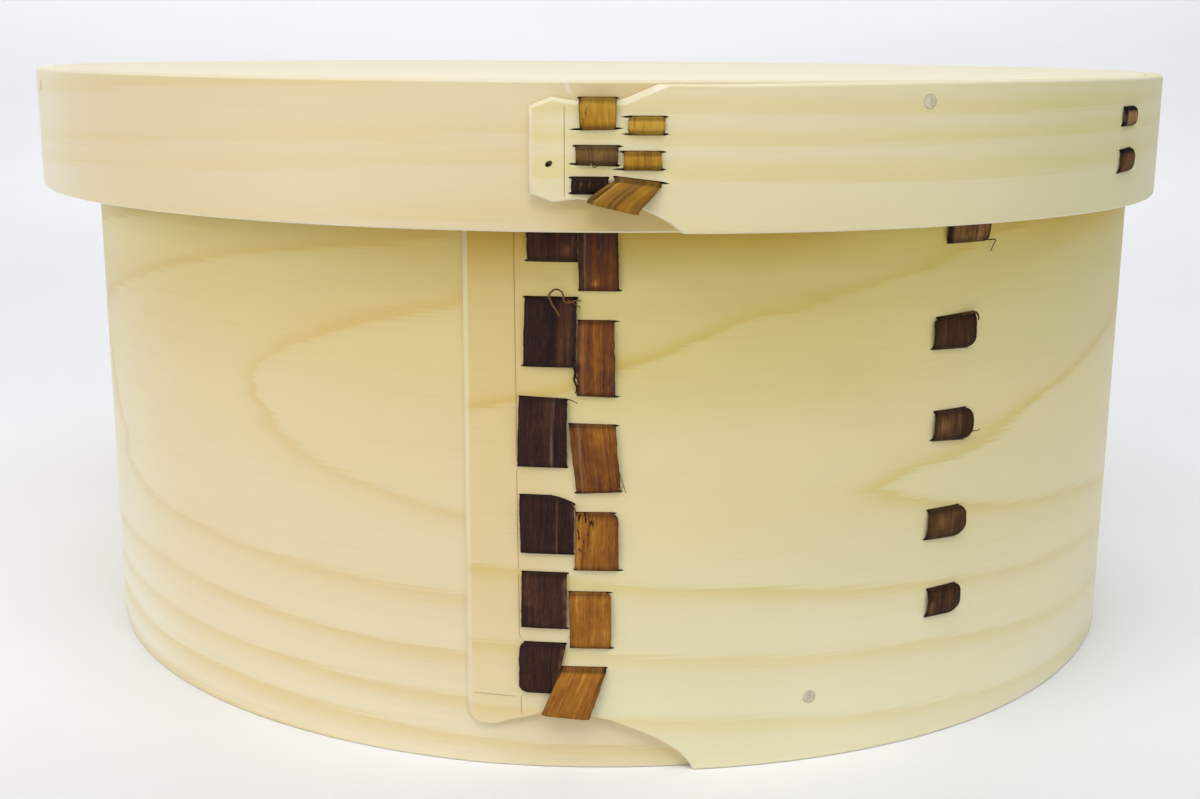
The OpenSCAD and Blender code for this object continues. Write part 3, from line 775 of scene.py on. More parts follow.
BODY_RIGHT = [
    stitch(23.2, 33.5, (-3.52, -0.02), (-3.66, -0.06), tone=0.74, crt=0.55, low=(0.0, 0.6), high=(0.0, 0.9)),
    stitch(37.4, 47.75, (-3.14, 0.56), (-3.08, 0.52), tone=0.72, crt=0.9, low=(0.3, 0.9), high=(0.0, 0.6)),
    stitch(51.1, 63.25, (-3.02, 0.67), (-3.68, 0.20), tone=0.57, drop=0.15, rise=0.35, low=(0.4, 0.4), high=(0.0, 0.7)),
    stitch(68.1, 80.85, (-3.0, 0.15), (-2.95, 0.02), tone=0.45, rise=-0.2, low=(0.15, 0.8), high=(0.0, 0.9)),
    stitch(85.85, 96.4, (-2.88, 0.40), (-2.90, 0.24), tone=0.27, low=(0.2, 0.5), high=(0.2, 0.5)),
]
BODY_END = [
    stitch(23.7, 29.1, (29.62, 33.6), (29.74, 33.55), crt=0.8, crb=2.2, tone=0.42, crown=0.30, rise=-0.1, drop=-0.1, low=(0.2, 0.0), high=(0.2, 0.0)),
    stitch(38.6, 44.2, (29.12, 33.72), (29.3, 33.7), crt=1.4, crb=2.1, tone=0.50, crown=0.30, rise=-0.3, low=(0.4, 0.0), high=(0.2, 0.0)),
    stitch(57.0, 62.35, (29.36, 33.94), (29.48, 33.9), crt=1.4, crb=1.7, tone=0.46, crown=0.28, rise=-0.6, low=(0.5, 0.0), high=(0.2, 0.0)),
    stitch(73.6, 79.3, (28.86, 33.68), (28.8, 33.55), crt=0.3, crb=1.4, clt=0.9, tone=0.36, crown=0.30, rise=-0.3, drop=-0.4, low=(0.5, 0.0), high=(0.4, 0.5)),
    stitch(92.15, 98.5, (29.7, 34.6), (29.65, 34.75), crt=1.2, crb=0.5, clb=0.5, tone=0.80, crown=0.26, low=(0.0, 0.4), high=(0.2, 0.3)),
]
LZ = LID.z0
LID_LEFT = [
    stitch(102.5, 105.15, (-1.73, 1.15), (-1.73, 0.95), tone=0.08, crown=0.04, low=(0.45, 0.0), high=(0.45, 0.15)),
    stitch(107.05, 110.05, (-1.42, 1.62), (-1.42, 1.65), tone=0.45, crown=0.12, rise=-0.15, low=(1.1, 0.45), high=(0.55, 0.75)),
    stitch(112.45, 117.4, (-1.14, 1.45), (-1.2, 1.5), tone=0.80, crown=0.16, rise=0.15, low=(1.6, 1.1), high=(0.2, 0.4)),
]
LID_RIGHT = [
    stitch(106.3, 109.2, (2.05, 4.79), (2.0, 4.79), tone=0.78, crown=0.12, low=(1.7, 0.7), high=(0.65, 0.75)),
    stitch(111.75, 114.6, (2.36, 4.97), (2.33, 4.97), tone=0.92, crown=0.14, clt=0.5, clb=0.5, low=(1.6, 0.7), high=(1.6, 0.55)),
]
LID_END = [
    stitch(102.85, 107.05, (49.95, 53.15), (50.25, 53.1), crt=1.0, crb=1.4, rise=0.2, drop=-0.3, tone=0.56, crown=0.18, low=(0.5, 0.0), high=(0.5, 0.1)),
    stitch(111.35, 114.85, (50.15, 53.0), (50.15, 53.05), crt=0.5, crb=0.5, clt=0.5, tone=1.0, crown=0.16, low=(0.2, 0.2), high=(0.1, 0.4)),
]
BODY_FROM = 19.4
LID_FROM = LZ + 8.45


def slit_holes(ring, rows, skip_top=False):
    """The knife slits of a column, in both plies of the lap."""
    out = []
    for i, d in enumerate(rows):
        for turn in (0.0, 360.0):
            low, high = slit_low(ring, d), slit_high(ring, d)
            # 0.86: the slit walls are painted dark, as shade inside them
            out.append((lens(ring, low[0] + turn, low[1] + turn, low[2], low[3], d["low"], -0.2), 0.86))
            if not (skip_top and i == len(rows) - 1):
                out.append((lens(ring, high[0] + turn, high[1] + turn, high[2], high[3], d["high"], 0.2, d["knee"]), 0.86))
    return out


def slit_low(ring, d):
    return (d["b"][0] + d["clb"] / ring.k, d["b"][1] - d["crb"] / ring.k, d["z0"] + 0.3, d["z0"] + 0.3 + d["rise"])


def slit_high(ring, d):
    return (d["t"][0] + d["clt"] / ring.k, d["t"][1] - d["crt"] / ring.k, d["z1"] - 0.3, d["z1"] - 0.3 - d["drop"])


# ---------------------------------------------------------------- body hoop
def body_outline():
    cut = [(-12.65, 10.2), (-11.9, 8.5), (-11.1, 8.1), (-10.1, 8.2), (-9.4, 8.7), (-8.2, 9.45), (-6.9, 10.1), (-6.0, 10.8), (-5.0, 11.05),
           (-4.0, 11.05), (-2.0, 10.6), (-0.25, 9.85), (1.1, 8.85), (2.6, 7.65), (3.9, 6.4), (5.0, 5.0), (6.0, 3.6), (6.8, 1.9), (7.3, 0.0)]
    z1 = BODY.z1
    rows = [(a, z, 0.0, 0.28, 0.05) for a, z in cut[:-1]]
    rows += [(7.3, 0.0, 0.0, 0.45, 0.0), (BODY.s1, 0.0, 0.0, 0.2, 0.05), (BODY.s1, z1, 0.0, 0.45, 0.0)]
    rows += [(a, z1 - z, 0.0, 0.28, 0.05) for a, z in cut[:0:-1]]
    rows.append((-12.65, z1 - 10.2, 0.75, 0.22, 0.0))
    return rows


body_slits = slit_holes(BODY, BODY_LEFT) + slit_holes(BODY, BODY_RIGHT) + slit_holes(BODY, BODY_END)
for turn in (0.0, 360.0):
    body_slits.append((lens(BODY, -4.30 + turn, -0.42 + turn, BODY_FROM, BODY_FROM, (0.15, 0.3), 0.2), 0.86))
PEG_Z = 12.1
body_rounds = [(round_hole(BODY, a, PEG_Z, 1.21), 0.02) for a in (17.8, 107.8, 197.8, 287.8, 377.8)]
# the scribed line that the left column was set out by, where the stitches leave it bare
body_grooves = [
    ([(-8.26, 101.0), (-8.22, 84.0), (-8.14, 70.0), (-8.1, 57.4)], 0.10, 0.16),
    ([(-8.12, 54.6), (-8.08, 51.8), (-8.06, 44.0), (-8.0, 37.5)], 0.10, 0.16),
    ([(-7.99, 36.0), (-7.96, 30.0), (-7.95, 25.2)], 0.10, 0.16),
    ([(-7.82, 13.6), (-7.8, 12.0), (-7.79, 10.6)], 0.10, 0.16),
    ([(-12.1, 13.8), (-8.45, 13.65)], 0.09, 0.14),
]
body_hoop = bent_board("bent_body", BODY, body_outline(), body_slits, body_rounds, body_grooves, body_phase, WOOD_BODY, 1.0, 4.0)
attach(body_hoop, "container")
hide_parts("body_hoop")


# ---------------------------------------------------------------- lid hoop
def lid_outline():
    z0, z1 = LID.z0, LID.z1
    low = [(-4.85, 6.2), (-3.1, 4.85), (-1.25, 5.4), (3.5, 3.8), (4.4, 2.85), (5.4, 1.7)]
    rows = [(a, z0 + z, 0.12, 0.28, 0.03) for a, z in low]
    rows.append((6.45, z0, 0.0, 0.40, 0.0))
    for s in np.arange(20.0, LID.s1 - 2.0, 12.0):
        rows.append((s, z0, 0.0, 0.40, 0.0))
    rows.append((LID.s1, z0, 0.0, 0.2, 0.05))
    rows.append((LID.s1, z1, 0.0, 0.55, 0.0))
    for s in np.arange(20.0, LID.s1 - 2.0, 12.0)[::-1]:
        rows.append((s, z1 + float(lid_drop(s)), 0.0, 0.55, 0.0))
    rows.append((9.0, z1 + float(lid_drop(9.0)), 0.0, 0.55, 0.0, 1.0))
    rows.append((4.5, z1 + float(lid_drop(4.5)), 0.75, 0.25, 0.0))
    rows += [(1.65, z1 - 3.15, 0.42, 0.22, 0.0), (-1.2, z1 - 3.2, 0.42, 0.22, 0.0), (-2.2, z1 - 2.9, 0.42, 0.22, 0.0), (-3.2, z1 - 2.5, 0.42, 0.22, 0.0)]
    rows.append((-4.85, z1 - 3.9, 0.35, 0.25, 0.0))
    return rows


lid_slits = slit_holes(LID, LID_LEFT, True) + slit_holes(LID, LID_RIGHT) + slit_holes(LID, LID_END)
for turn in (0.0, 360.0):
    lid_slits.append((lens(LID, 1.38 + turn, 4.85 + turn, LID_FROM + 0.35, LID_FROM - 0.55, (0.15, 1.1), 0.2), 0.86))
# over the tongue's upper edge the topmost stitch goes through the inner ply only
lid_slits.append((lens(LID, 358.8, 361.5, 117.1, 117.1, (0.3, 0.5), 0.2), 0.86))
LID_PEG_Z = 116.7
lid_rounds = [(round_hole(LID, a, LID_PEG_Z, 1.21), 0.02) for a in (25.7, 115.7, 205.7, 295.7, 385.7)]
# the small hole's wall is painted almost black, as shade in the hole
lid_rounds += [(round_hole(LID, a, 107.14, 0.60, 14, 0.68, 0.6), 0.97) for a in (-3.37, 356.63)]
lid_grooves = [
    ([(-2.26, 116.1), (-2.24, 108.0), (-2.24, 102.0)], 0.10, 0.16),
]
lid_hoop = bent_board("bent_lid", LID, lid_outline(), lid_slits, lid_rounds, lid_grooves, lid_phase, WOOD_LID, 0.3, 3.0)
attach(lid_hoop, "lid")
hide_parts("lid_hoop")


# ---------------------------------------------------------------- planks
def plank(name, node, cx, r, z0, z1, y0, y1, pins, material, body):
    """A piece of a round board, with eased edges, drilled for its dowels and pegs. pins: (start, end, radius)."""
    def corner(y):
        return math.degrees(math.asin(max(-1.0, min(1.0, y / r))))
    ys0, ys1 = max(y0, -r), min(y1, r)
    out = []
    if y0 <= -r:      # front piece: round at the front
        a = np.linspace(180.0 + abs(corner(ys1)) * (1 if ys1 < 0 else -1), 360.0 - abs(corner(ys1)) * (1 if ys1 < 0 else -1), 150)
        out = [(r * math.cos(math.radians(t)), r * math.sin(math.radians(t))) for t in a]
    elif y1 >= r:     # rear piece
        c = corner(ys0)
        a = np.linspace(c, 180.0 - c, 150)
        out = [(r * math.cos(math.radians(t)), r * math.sin(math.radians(t))) for t in a]
    else:             # middle piece: round at both ends
        c0, c1 = corner(ys0), corner(ys1)
        right = np.linspace(c0, c1, 60)
        left = np.linspace(180.0 - c1, 180.0 - c0, 60)
        out = [(r * math.cos(math.radians(t)), r * math.sin(math.radians(t))) for t in np.concatenate([right, left])]
    p = np.array(out)
    b = 0.35 if body == "container" else 0.12
    n = len(p)
    verts, faces, rings = [], [], []
    steps = [(b, z1), (b * 0.5, z1 - b * 0.13), (b * 0.13, z1 - b * 0.5), (0.0, z1 - b), (0.0, z0 + b), (b * 0.13, z0 + b * 0.5), (b * 0.5, z0 + b * 0.13), (b, z0)]
    for off, z in steps:
        q = offset_loop(p, np.full(n, max(off, 1e-6)))
        rings.append(len(verts))
        verts += [(x + cx, y, z) for x, y in q]
    for i0, i1 in zip(rings[:-1], rings[1:]):
        for i in range(n):
            j = (i + 1) % n
            faces.append((i0 + i, i1 + i, i1 + j, i0 + j))
    faces.append(tuple(rings[0] + i for i in range(n)))
    faces.append(tuple(rings[-1] + i for i in range(n - 1, -1, -1)))
    ob = make_mesh(name, verts, faces, material)
    # drill
    bm = bmesh.new()
    for a, e, rad in pins:
        a, e = Vector(a) * MM, Vector(e) * MM
        d = e - a
        turn = d.to_track_quat("Z", "Y").to_matrix().to_4x4()
        bmesh.ops.create_cone(bm, cap_ends=True, segments=32, radius1=rad * MM, radius2=rad * MM, depth=d.length, matrix=Matrix.Translation((a + e) / 2) @ turn)
    cutter_mesh = bpy.data.meshes.new(name + "_cutter")
    bm.to_mesh(cutter_mesh)
    bm.free()
    cutter = bpy.data.objects.new(name + "_cutter", cutter_mesh)
    bpy.context.scene.collection.objects.link(cutter)
    mod = ob.modifiers.new("drill", "BOOLEAN")
    mod.object, mod.operation, mod.solver = cutter, "DIFFERENCE", "EXACT"
    bpy.context.view_layer.update()
    done = bpy.data.meshes.new_from_object(ob.evaluated_get(bpy.context.evaluated_depsgraph_get()))
    ob.modifiers.clear()
    ob.data = done
    done.name = name
    bpy.data.objects.remove(cutter)
    done.set_sharp_from_angle(angle=math.radians(40))
    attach(ob, body)
    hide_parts(node)
    return ob


def pins_for(cx, board_r, z, angles):
    out = []
    for x in (-55.0, 55.0):
        for y in (-42.0, 42.0):
            out.append(((cx + x, y - 12.5, z), (cx + x, y + 12.5, z), 1.55))
    for a in angles:
        t = math.radians(a)
        r0, r1 = board_r - 11.5, board_r + 3.0
        out.append(((cx + r0 * math.sin(t), -r0 * math.cos(t), z), (cx + r1 * math.sin(t), -r1 * math.cos(t), z), 1.25))
    return out


BODY_PEGS = (17.8, 107.8, 197.8, 287.8)
LID_PEGS = (25.7, 115.7, 205.7, 295.7)
bottom_pins = pins_for(0.0, 111.3, PEG_Z, BODY_PEGS)
lid_pins = pins_for(LID.cx, 119.6, LID_PEG_Z, LID_PEGS)
plank("bottom_board_front", "bottom_plank_front", 0.0, 111.3, 8.0, 17.0, -200.0, -42.05, bottom_pins, board_material("board_a", -70.0, -38.0, 0.020, 5.2, CREAM), "container")
plank("bottom_board_middle", "bottom_plank_middle", 0.0, 111.3, 8.0, 17.0, -41.95, 41.95, bottom_pins, board_material("board_b", 9.0, -52.0, -0.030, 5.8, CREAM), "container")
plank("bottom_board_rear", "bottom_plank_rear", 0.0, 111.3, 8.0, 17.0, 42.05, 200.0, bottom_pins, board_material("board_c", 96.0, 70.0, 0.025, 5.0, CREAM), "container")
plank("lid_board_front", "lid_plank_front", LID.cx, 119.7, 113.0, 119.92, -200.0, -42.05, lid_pins, board_material("board_d", -96.0, 60.0, -0.022, 5.4, TOP), "lid")
plank("lid_board_middle", "lid_plank_middle", LID.cx, 119.7, 113.0, 119.92, -41.95, 41.95, lid_pins, board_material("board_e", -6.0, 58.0, 0.028, 5.6, TOP), "lid")
plank("lid_board_rear", "lid_plank_rear", LID.cx, 119.7, 113.0, 119.92, 42.05, 200.0, lid_pins, board_material("board_f", 64.0, 176.0, -0.018, 5.0, TOP), "lid")
for node in ("bottom_dowels", "lid_dowels"):
    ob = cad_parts[node]
    ob.data.materials.clear()
    ob.data.materials.append(BAMBOO)


# ---------------------------------------------------------------- pegs
def pegs(name, node, ring, board_r, z, angles, body):
    """Whittled pegs: tapered, slightly out of round, cut flush outside."""
    verts, faces = [], []
    n = 18
    for pi, a in enumerate(angles):
        r_end = float(ring.face(a)) + 0.05
        prof = [(board_r - 11.0, 0.55), (board_r - 10.4, 0.86), (board_r - 6.0, 0.96), (ring.inside, 1.0), (r_end - 0.10, 1.0), (r_end - 0.03, 0.93), (r_end, 0.70)]
        t = math.radians(a)
        rad = np.array([math.sin(t), -math.cos(t), 0.0])
        tan = np.array([math.cos(t), math.sin(t), 0.0])
        base = len(verts)
        for ri, (r, w) in enumerate(prof):
            for i in range(n):
                f = 2 * math.pi * i / n
                lump = 1.0 - 0.03 * (0.5 + 0.5 * math.sin(5 * f + 2.1 * pi)) - 0.02 * (0.5 + 0.5 * math.cos(3 * f + pi))
                q = rad * r + (tan * math.cos(f) + np.array([0, 0, 1.0]) * math.sin(f)) * 1.2 * w * lump
                verts.append((q[0] + ring.cx, q[1], q[2] + z))
        for ri in range(len(prof) - 1):
            for i in range(n):
                j = (i + 1) % n
                b0, b1 = base + ri * n, base + (ri + 1) * n
                faces.append((b0 + i, b0 + j, b1 + j, b1 + i))
        faces.append(tuple(base + i for i in range(n - 1, -1, -1)))
        faces.append(tuple(base + (len(prof) - 1) * n + i for i in range(n)))
    ob = make_mesh(name, verts, faces, PEG)
    ob.data.set_sharp_from_angle(angle=math.radians(50))
    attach(ob, body)
    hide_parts(node)
    return ob


pegs("pegs_body", "body_pegs", BODY, 111.3, PEG_Z, BODY_PEGS, "container")
pegs("pegs_lid", "lid_pegs", LID, 119.6, LID_PEG_Z, LID_PEGS, "lid")


# ---------------------------------------------------------------- bark strips
class Soup:
    """Gathers the parts of one piece."""

    def __init__(self):
        self.v, self.f, self.at = [], [], {"tone": [], "pale": [], "dark": [], "fleck": []}
        self.bvec = []
        self.n = 0

    def add(self, v, f, bvec, **at):
        v = np.asarray(v, float).reshape(-1, 3)
        self.v.append(v)
        self.f += [tuple(int(i) + self.n for i in q) for q in f]
        self.bvec.append(np.asarray(bvec, float).reshape(-1, 3))
        for key in self.at:
            self.at[key].append(np.broadcast_to(np.asarray(at.get(key, 0.0), float).ravel(), (len(v),)) if np.size(at.get(key, 0.0)) in (1, len(v)) else None)
        self.n += len(v)

    def make(self, name, node, material, body):
        ob = make_mesh(
            name, np.concatenate(self.v), self.f, material, None,
            {k: np.concatenate(a) for k, a in self.at.items()}, {"bvec": np.concatenate(self.bvec)},
        )
        ob.data.set_sharp_from_angle(angle=math.radians(62))
        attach(ob, body)
        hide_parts(node)
        return ob


def wob(x, y, seed):
    return noise.noise(Vector((x, y, seed)))


M = 26  # points across a strip
RHO = 0.34


def sweep(soup, ring, secs, seed, paint=None):
    """secs: rows of a strip along its length. Each has the left and right edge (angle, height), the face it is
    measured from ('o' outside, 'i' inside), how far in from that face, and the stitch and place in it."""
    n = len(secs)
    C = np.zeros((n, M + 1, 3))
    X = np.linspace(0.0, 1.0, M + 1)
    for j, c in enumerate(secs):
        zm = 0.5 * (c["zl"] + c["zr"])
        el = 0.10 * wob(zm * 0.9, 1.7, seed) + 0.05 * wob(zm * 3.1, 4.7, seed)
        er = 0.10 * wob(zm * 0.9, 8.3, seed) + 0.05 * wob(zm * 3.1, 11.9, seed)
        a = np.interp(X, [0, 1], [c["al"] + el / ring.k, c["ar"] + er / ring.k])
        z = c["zl"] + ((c["zr"] - c["zl"]) * X if c["dz"] is None else c["dz"](X))
        outside = ring.face(a) + BARK_GAP + BARK_T / 2
        within = ring.inside - BARK_GAP - BARK_T / 2
        r = outside - c["d"] if c["mode"] == "o" else within + c["d"] + 0.0 * a
        if c["mode"] == "o" and c["y"] is not None:
            swell = math.sin(math.pi * min(1.0, max(0.0, c["y"])))
            r = r + swell * np.array([0.07 * wob(x * 3.0, zm * 0.35, seed + 3.1) + 0.025 * wob(x * 14.0, zm * 0.2, seed + 5.7) for x in X])
            if c.get("prof") is not None:
                r = r + c["prof"](X, c["y"])
        C[j] = ring.xyz(a, r, z)
    T = np.gradient(C, axis=0)
    A = np.gradient(C, axis=1)
    N = np.cross(A, T)
    N /= np.maximum(np.linalg.norm(N, axis=2), 1e-9)[:, :, None]
    half = 0.5 * BARK_T * (0.45 + 0.55 * (1.0 - np.abs(2 * X - 1.0) ** 9))
    up = C + N * half[None, :, None]
    dn = C - N * half[None, :, None]
    width = np.linalg.norm(C[:, -1] - C[:, 0], axis=1)
    run = np.concatenate([[0], np.cumsum(np.linalg.norm(np.diff(C[:, M // 2], axis=0), axis=1))])
    bv = np.stack([width[:, None] * X[None, :] + seed * 37.0, np.repeat(run[:, None], M + 1, 1), np.full((n, M + 1), seed * 11.0)], 2)
    tone = np.repeat(np.array([c["tone"] for c in secs])[:, None], M + 1, 1)
    pale = np.zeros_like(tone)
    dark = np.zeros_like(tone)
    fleck = np.zeros_like(tone)
    for j, c in enumerate(secs):
        rim = near(X, 0.0, 0.04) * 0.35 + near(X, 1.0, 0.04) * 0.35
        dark[j] += rim
        if c["y"] is not None:
            # painted shade where the strip bends into the slit at each end of a stitch
            band = 0.26 if ring is BODY else 0.15
            dark[j] += (0.45 if c["st"] >= 0 else 0.0) * near(c["y"] * c["long"], 0.0, band) + 0.52 * near((1.0 - c["y"]) * c["long"], 0.0, band)
            if paint is not None:
                dt, pl, dk, fl = paint(c["st"], X, c["y"])
                tone[j] = tone[j] + dt
                pale[j] += pl
                dark[j] += dk
                fleck[j] += fl
        else:
            # rows in the slits and on the inside are darker, in the slits as painted shade
            dark[j] += 0.25
    w = M + 1
    idx = lambda j, i: j * w + i
    f = []
    for j in range(n - 1):
        for i in range(M):
            f.append((idx(j, i), idx(j, i + 1), idx(j + 1, i + 1), idx(j + 1, i)))
            o = n * w
            f.append((o + idx(j, i), o + idx(j + 1, i), o + idx(j + 1, i + 1), o + idx(j, i + 1)))
        o = n * w
        f.append((idx(j, 0), idx(j + 1, 0), o + idx(j + 1, 0), o + idx(j, 0)))
        f.append((idx(j, M), o + idx(j, M), o + idx(j + 1, M), idx(j + 1, M)))
    o = n * w
    for i in range(M):
        f.append((idx(0, i), o + idx(0, i), o + idx(0, i + 1), idx(0, i + 1)))
        f.append((idx(n - 1, i), idx(n - 1, i + 1), o + idx(n - 1, i + 1), o + idx(n - 1, i)))
    v = np.concatenate([up.reshape(-1, 3), dn.reshape(-1, 3)])
    two = lambda q: np.clip(np.concatenate([q.ravel(), q.ravel()]), 0.0, 1.0)
    soup.add(v, f, np.concatenate([bv.reshape(-1, 3), bv.reshape(-1, 3)]), tone=two(tone), pale=two(pale), dark=two(dark), fleck=two(fleck))


def sec(al, ar, zl, zr, mode, d, tone, st=None, y=None, prof=None, dz=None, long=8.0):
    return dict(al=al, ar=ar, zl=zl, zr=zr, mode=mode, d=d, tone=tone, st=st, y=y, prof=prof, dz=dz, long=long)


def corner_back(c, y):
    """How far a rounded corner of radius c has drawn back at a distance y from the end."""
    if c <= 0.0 or y >= c:
        return 0.0
    return c - math.sqrt(max(0.0, c * c - (c - y) ** 2))


def outside_run(secs, ring, d, st, prof=None, extra=0.0):
    """Out of the low slit, up the outside, into the high slit."""
    zbl, zbr = d["z0"] + 0.3, d["z0"] + 0.3 + d["rise"]
    ztl, ztr = d["z1"] - 0.3, d["z1"] - 0.3 - d["drop"]
    span = max(ztl - zbl, 0.6)

    def edges(zf):
        al = d["b"][0] + (d["t"][0] - d["b"][0]) * zf
        ar = d["b"][1] + (d["t"][1] - d["b"][1]) * zf
        low, high = zf * span, (1.0 - zf) * span
        al += (corner_back(d["clb"], low) + corner_back(d["clt"], high)) / ring.k
        ar -= (corner_back(d["crb"], low) + corner_back(d["crt"], high)) / ring.k
        return al, ar

    def at(zf, mode, dd, y):
        al, ar = edges(min(1.0, max(0.0, zf)))
        dz = (lambda x, f=zf: d["rise"] * (1.0 - f) * x - d["drop"] * f * kneed(x, d["knee"]))
        return sec(al, ar, zbl + (ztl - zbl) * zf, zbr + (ztr - zbr) * zf, mode, dd, d["tone"], st, y, prof, dz, span)

    rho = min(RHO, span * 0.3)
    secs.append(at(0.0, "o", 0.9, None))
    for f in (0, 25, 50, 75, 90):
        t = math.radians(f)
        secs.append(at(rho * (1 - math.cos(t)) / span, "o", rho * (1 - math.sin(t)) - extra, 0.0 if f < 90 else 0.02))
    m = max(5, int(span / 0.55))
    for i in range(1, m):
        y = i / m
        secs.append(at((rho + (span - 2 * rho) * y) / span, "o", -d["crown"] * math.sin(math.pi * y) ** 0.55 - extra, 0.02 + 0.96 * y))
    for f in (90, 75, 50, 25, 0):
        t = math.radians(f)
        secs.append(at(1.0 - rho * (1 - math.cos(t)) / span, "o", rho * (1 - math.sin(t)) - extra, 1.0 if f < 90 else 0.98))
    secs.append(at(1.0, "o", 0.9, None))


def inside_run(secs, ring, a, b, tone):
    """From the high slit of stitch a, up the inside, to the low slit of stitch b."""
    (al0, ar0, zl0, zr0), (al1, ar1, zl1, zr1) = a, b
    span = max(min(zl1 - zl0, zr1 - zr0), 0.5)
    rho = min(RHO, span * 0.3)

    def at(f, d):
        return sec(al0 + (al1 - al0) * f, ar0 + (ar1 - ar0) * f, zl0 + (zl1 - zl0) * f, zr0 + (zr1 - zr0) * f, "i", d, tone)

    secs.append(at(0.0, 1.0))
    for f in (0, 30, 60, 90):
        t = math.radians(f)
        secs.append(at(rho * (1 - math.cos(t)) / span, rho * (1 - math.sin(t))))
    for f in (0.35, 0.65):
        secs.append(at(f, -0.05))
    for f in (90, 60, 30, 0):
        t = math.radians(f)
        secs.append(at(1.0 - rho * (1 - math.cos(t)) / span, rho * (1 - math.sin(t))))
    secs.append(at(1.0, 1.0))


def laced(soup, ring, rows, seed, paint=None, head=None, foot=None, profs=None):
    """A whole column. head and foot are rows put before the first and after the last stitch."""
    secs = list(head or [])
    if not head:
        al, ar, zl, zr = slit_low(ring, rows[0])
        secs.append(sec(al, ar, zl, zr, "i", 0.5, rows[0]["tone"]))
        secs.append(sec(al, ar, zl, zr, "i", 1.2, rows[0]["tone"]))
    for i, d in enumerate(rows):
        outside_run(secs, ring, d, i, prof=(profs or {}).get(i))
        if i < len(rows) - 1:
            inside_run(secs, ring, slit_high(ring, d), slit_low(ring, rows[i + 1]), 0.5 * (d["tone"] + rows[i + 1]["tone"]))
    if foot is not None:
        secs = secs[:-1] + list(foot)
    else:
        al, ar, zl, zr = slit_high(ring, rows[-1])
        secs.append(sec(al, ar, zl, zr, "i", 1.2, rows[-1]["tone"]))
        secs.append(sec(al, ar, zl, zr, "i", 0.5, rows[-1]["tone"]))
    sweep(soup, ring, secs, seed, paint)


def fibre(soup, ring, pts, r0, r1, tone, pale=0.0, dark=0.0, sides=7):
    """A loose fibre: a thin tapering tube through (angle, height, height above the face)."""
    p = np.array([ring.xyz(a, float(ring.face(a)) + h, z) for a, z, h in pts])
    n = 6 * (len(p) - 1) + 1
    t = np.linspace(0, len(p) - 1, n)
    i = np.clip(t.astype(int), 0, len(p) - 2)
    f = (t - i)[:, None]
    g = lambda k: p[np.clip(i + k, 0, len(p) - 1)]
    p0, p1, p2, p3 = g(-1), g(0), g(1), g(2)
    c = 0.5 * (2 * p1 + (p2 - p0) * f + (2 * p0 - 5 * p1 + 4 * p2 - p3) * f ** 2 + (3 * p1 - p0 - 3 * p2 + p3) * f ** 3)
    tg = np.gradient(c, axis=0)
    tg /= np.linalg.norm(tg, axis=1)[:, None]
    ref = np.array([0.31, -0.82, 0.48])
    u = np.cross(tg, ref)
    u /= np.linalg.norm(u, axis=1)[:, None]
    w = np.cross(tg, u)
    rad = np.linspace(r0, r1, n)
    v, fc = [], []
    for j in range(n):
        for s in range(sides):
            q = 2 * math.pi * s / sides
            v.append(c[j] + rad[j] * (u[j] * math.cos(q) + 0.7 * w[j] * math.sin(q)))
    for j in range(n - 1):
        for s in range(sides):
            e = (s + 1) % sides
            fc.append((j * sides + s, j * sides + e, (j + 1) * sides + e, (j + 1) * sides + s))
    fc.append(tuple(range(sides - 1, -1, -1)))
    fc.append(tuple((n - 1) * sides + s for s in range(sides)))
    soup.add(v, fc, np.array(v) * 1.0, tone=tone, pale=pale, dark=dark)


# ---- body, left column: dark outer bark
def paint_left(st, x, y):
    z = np.zeros_like(x)
    tone, pale, dark, fl = z.copy(), z.copy(), z.copy(), z.copy()
    rim = near(x, 0.98, 0.05) * (0.7 + 0.3 * math.sin(23.0 * y + st))
    if st == 0:
        tone += 0.62 * rim
    elif st == 1:
        tone += 0.18 * near(x, 0.2, 0.15) * (y > 0.4) + 0.62 * rim
        pale += 0.22 * near(x, 0.93, 0.025) * near(y, 0.75, 0.2)
    elif st == 2:
        tone += 0.50 * near(x, 0.69, 0.018)
        tone += 0.25 * rim + 0.35 * rim * ease((y - 0.6) / 0.2)
    elif st == 3:
        pale += 0.55 * near(x, 0.72 - 0.03 * (1 - y), 0.016)
        dark += 0.5 * near(x, 0.775, 0.02)
        tone += 0.18 * near(x, 0.62, 0.10) * y
    elif st == 4:
        tone += 0.34 * ease((x - 0.56) / 0.18) * (1.0 - 0.6 * near(x, 0.97, 0.05))
        dark += 0.35 * near(x, 0.98, 0.05)
    elif st == 5:
        tone += 0.10 * (1.0 - y) + 0.40 * near(x, 0.80, 0.14) * near(y, 0.22, 0.16)
        pale += 0.30 * near(x, 0.93, 0.02) * near(y, 0.45, 0.15)
    return tone, pale, dark, fl


def prof_crack(x, y):
    return -0.16 * near(x, 0.76, 0.022) + 0.12 * near(x, 0.715, 0.03)


def prof_curl(x, y):
    return 0.16 * ease((x - 0.86) / 0.14) * (1.0 - 0.5 * y)


left = Soup()
laced(left, BODY, BODY_LEFT, 1.3, paint_left, profs={3: prof_crack, 4: prof_curl, 5: prof_curl})
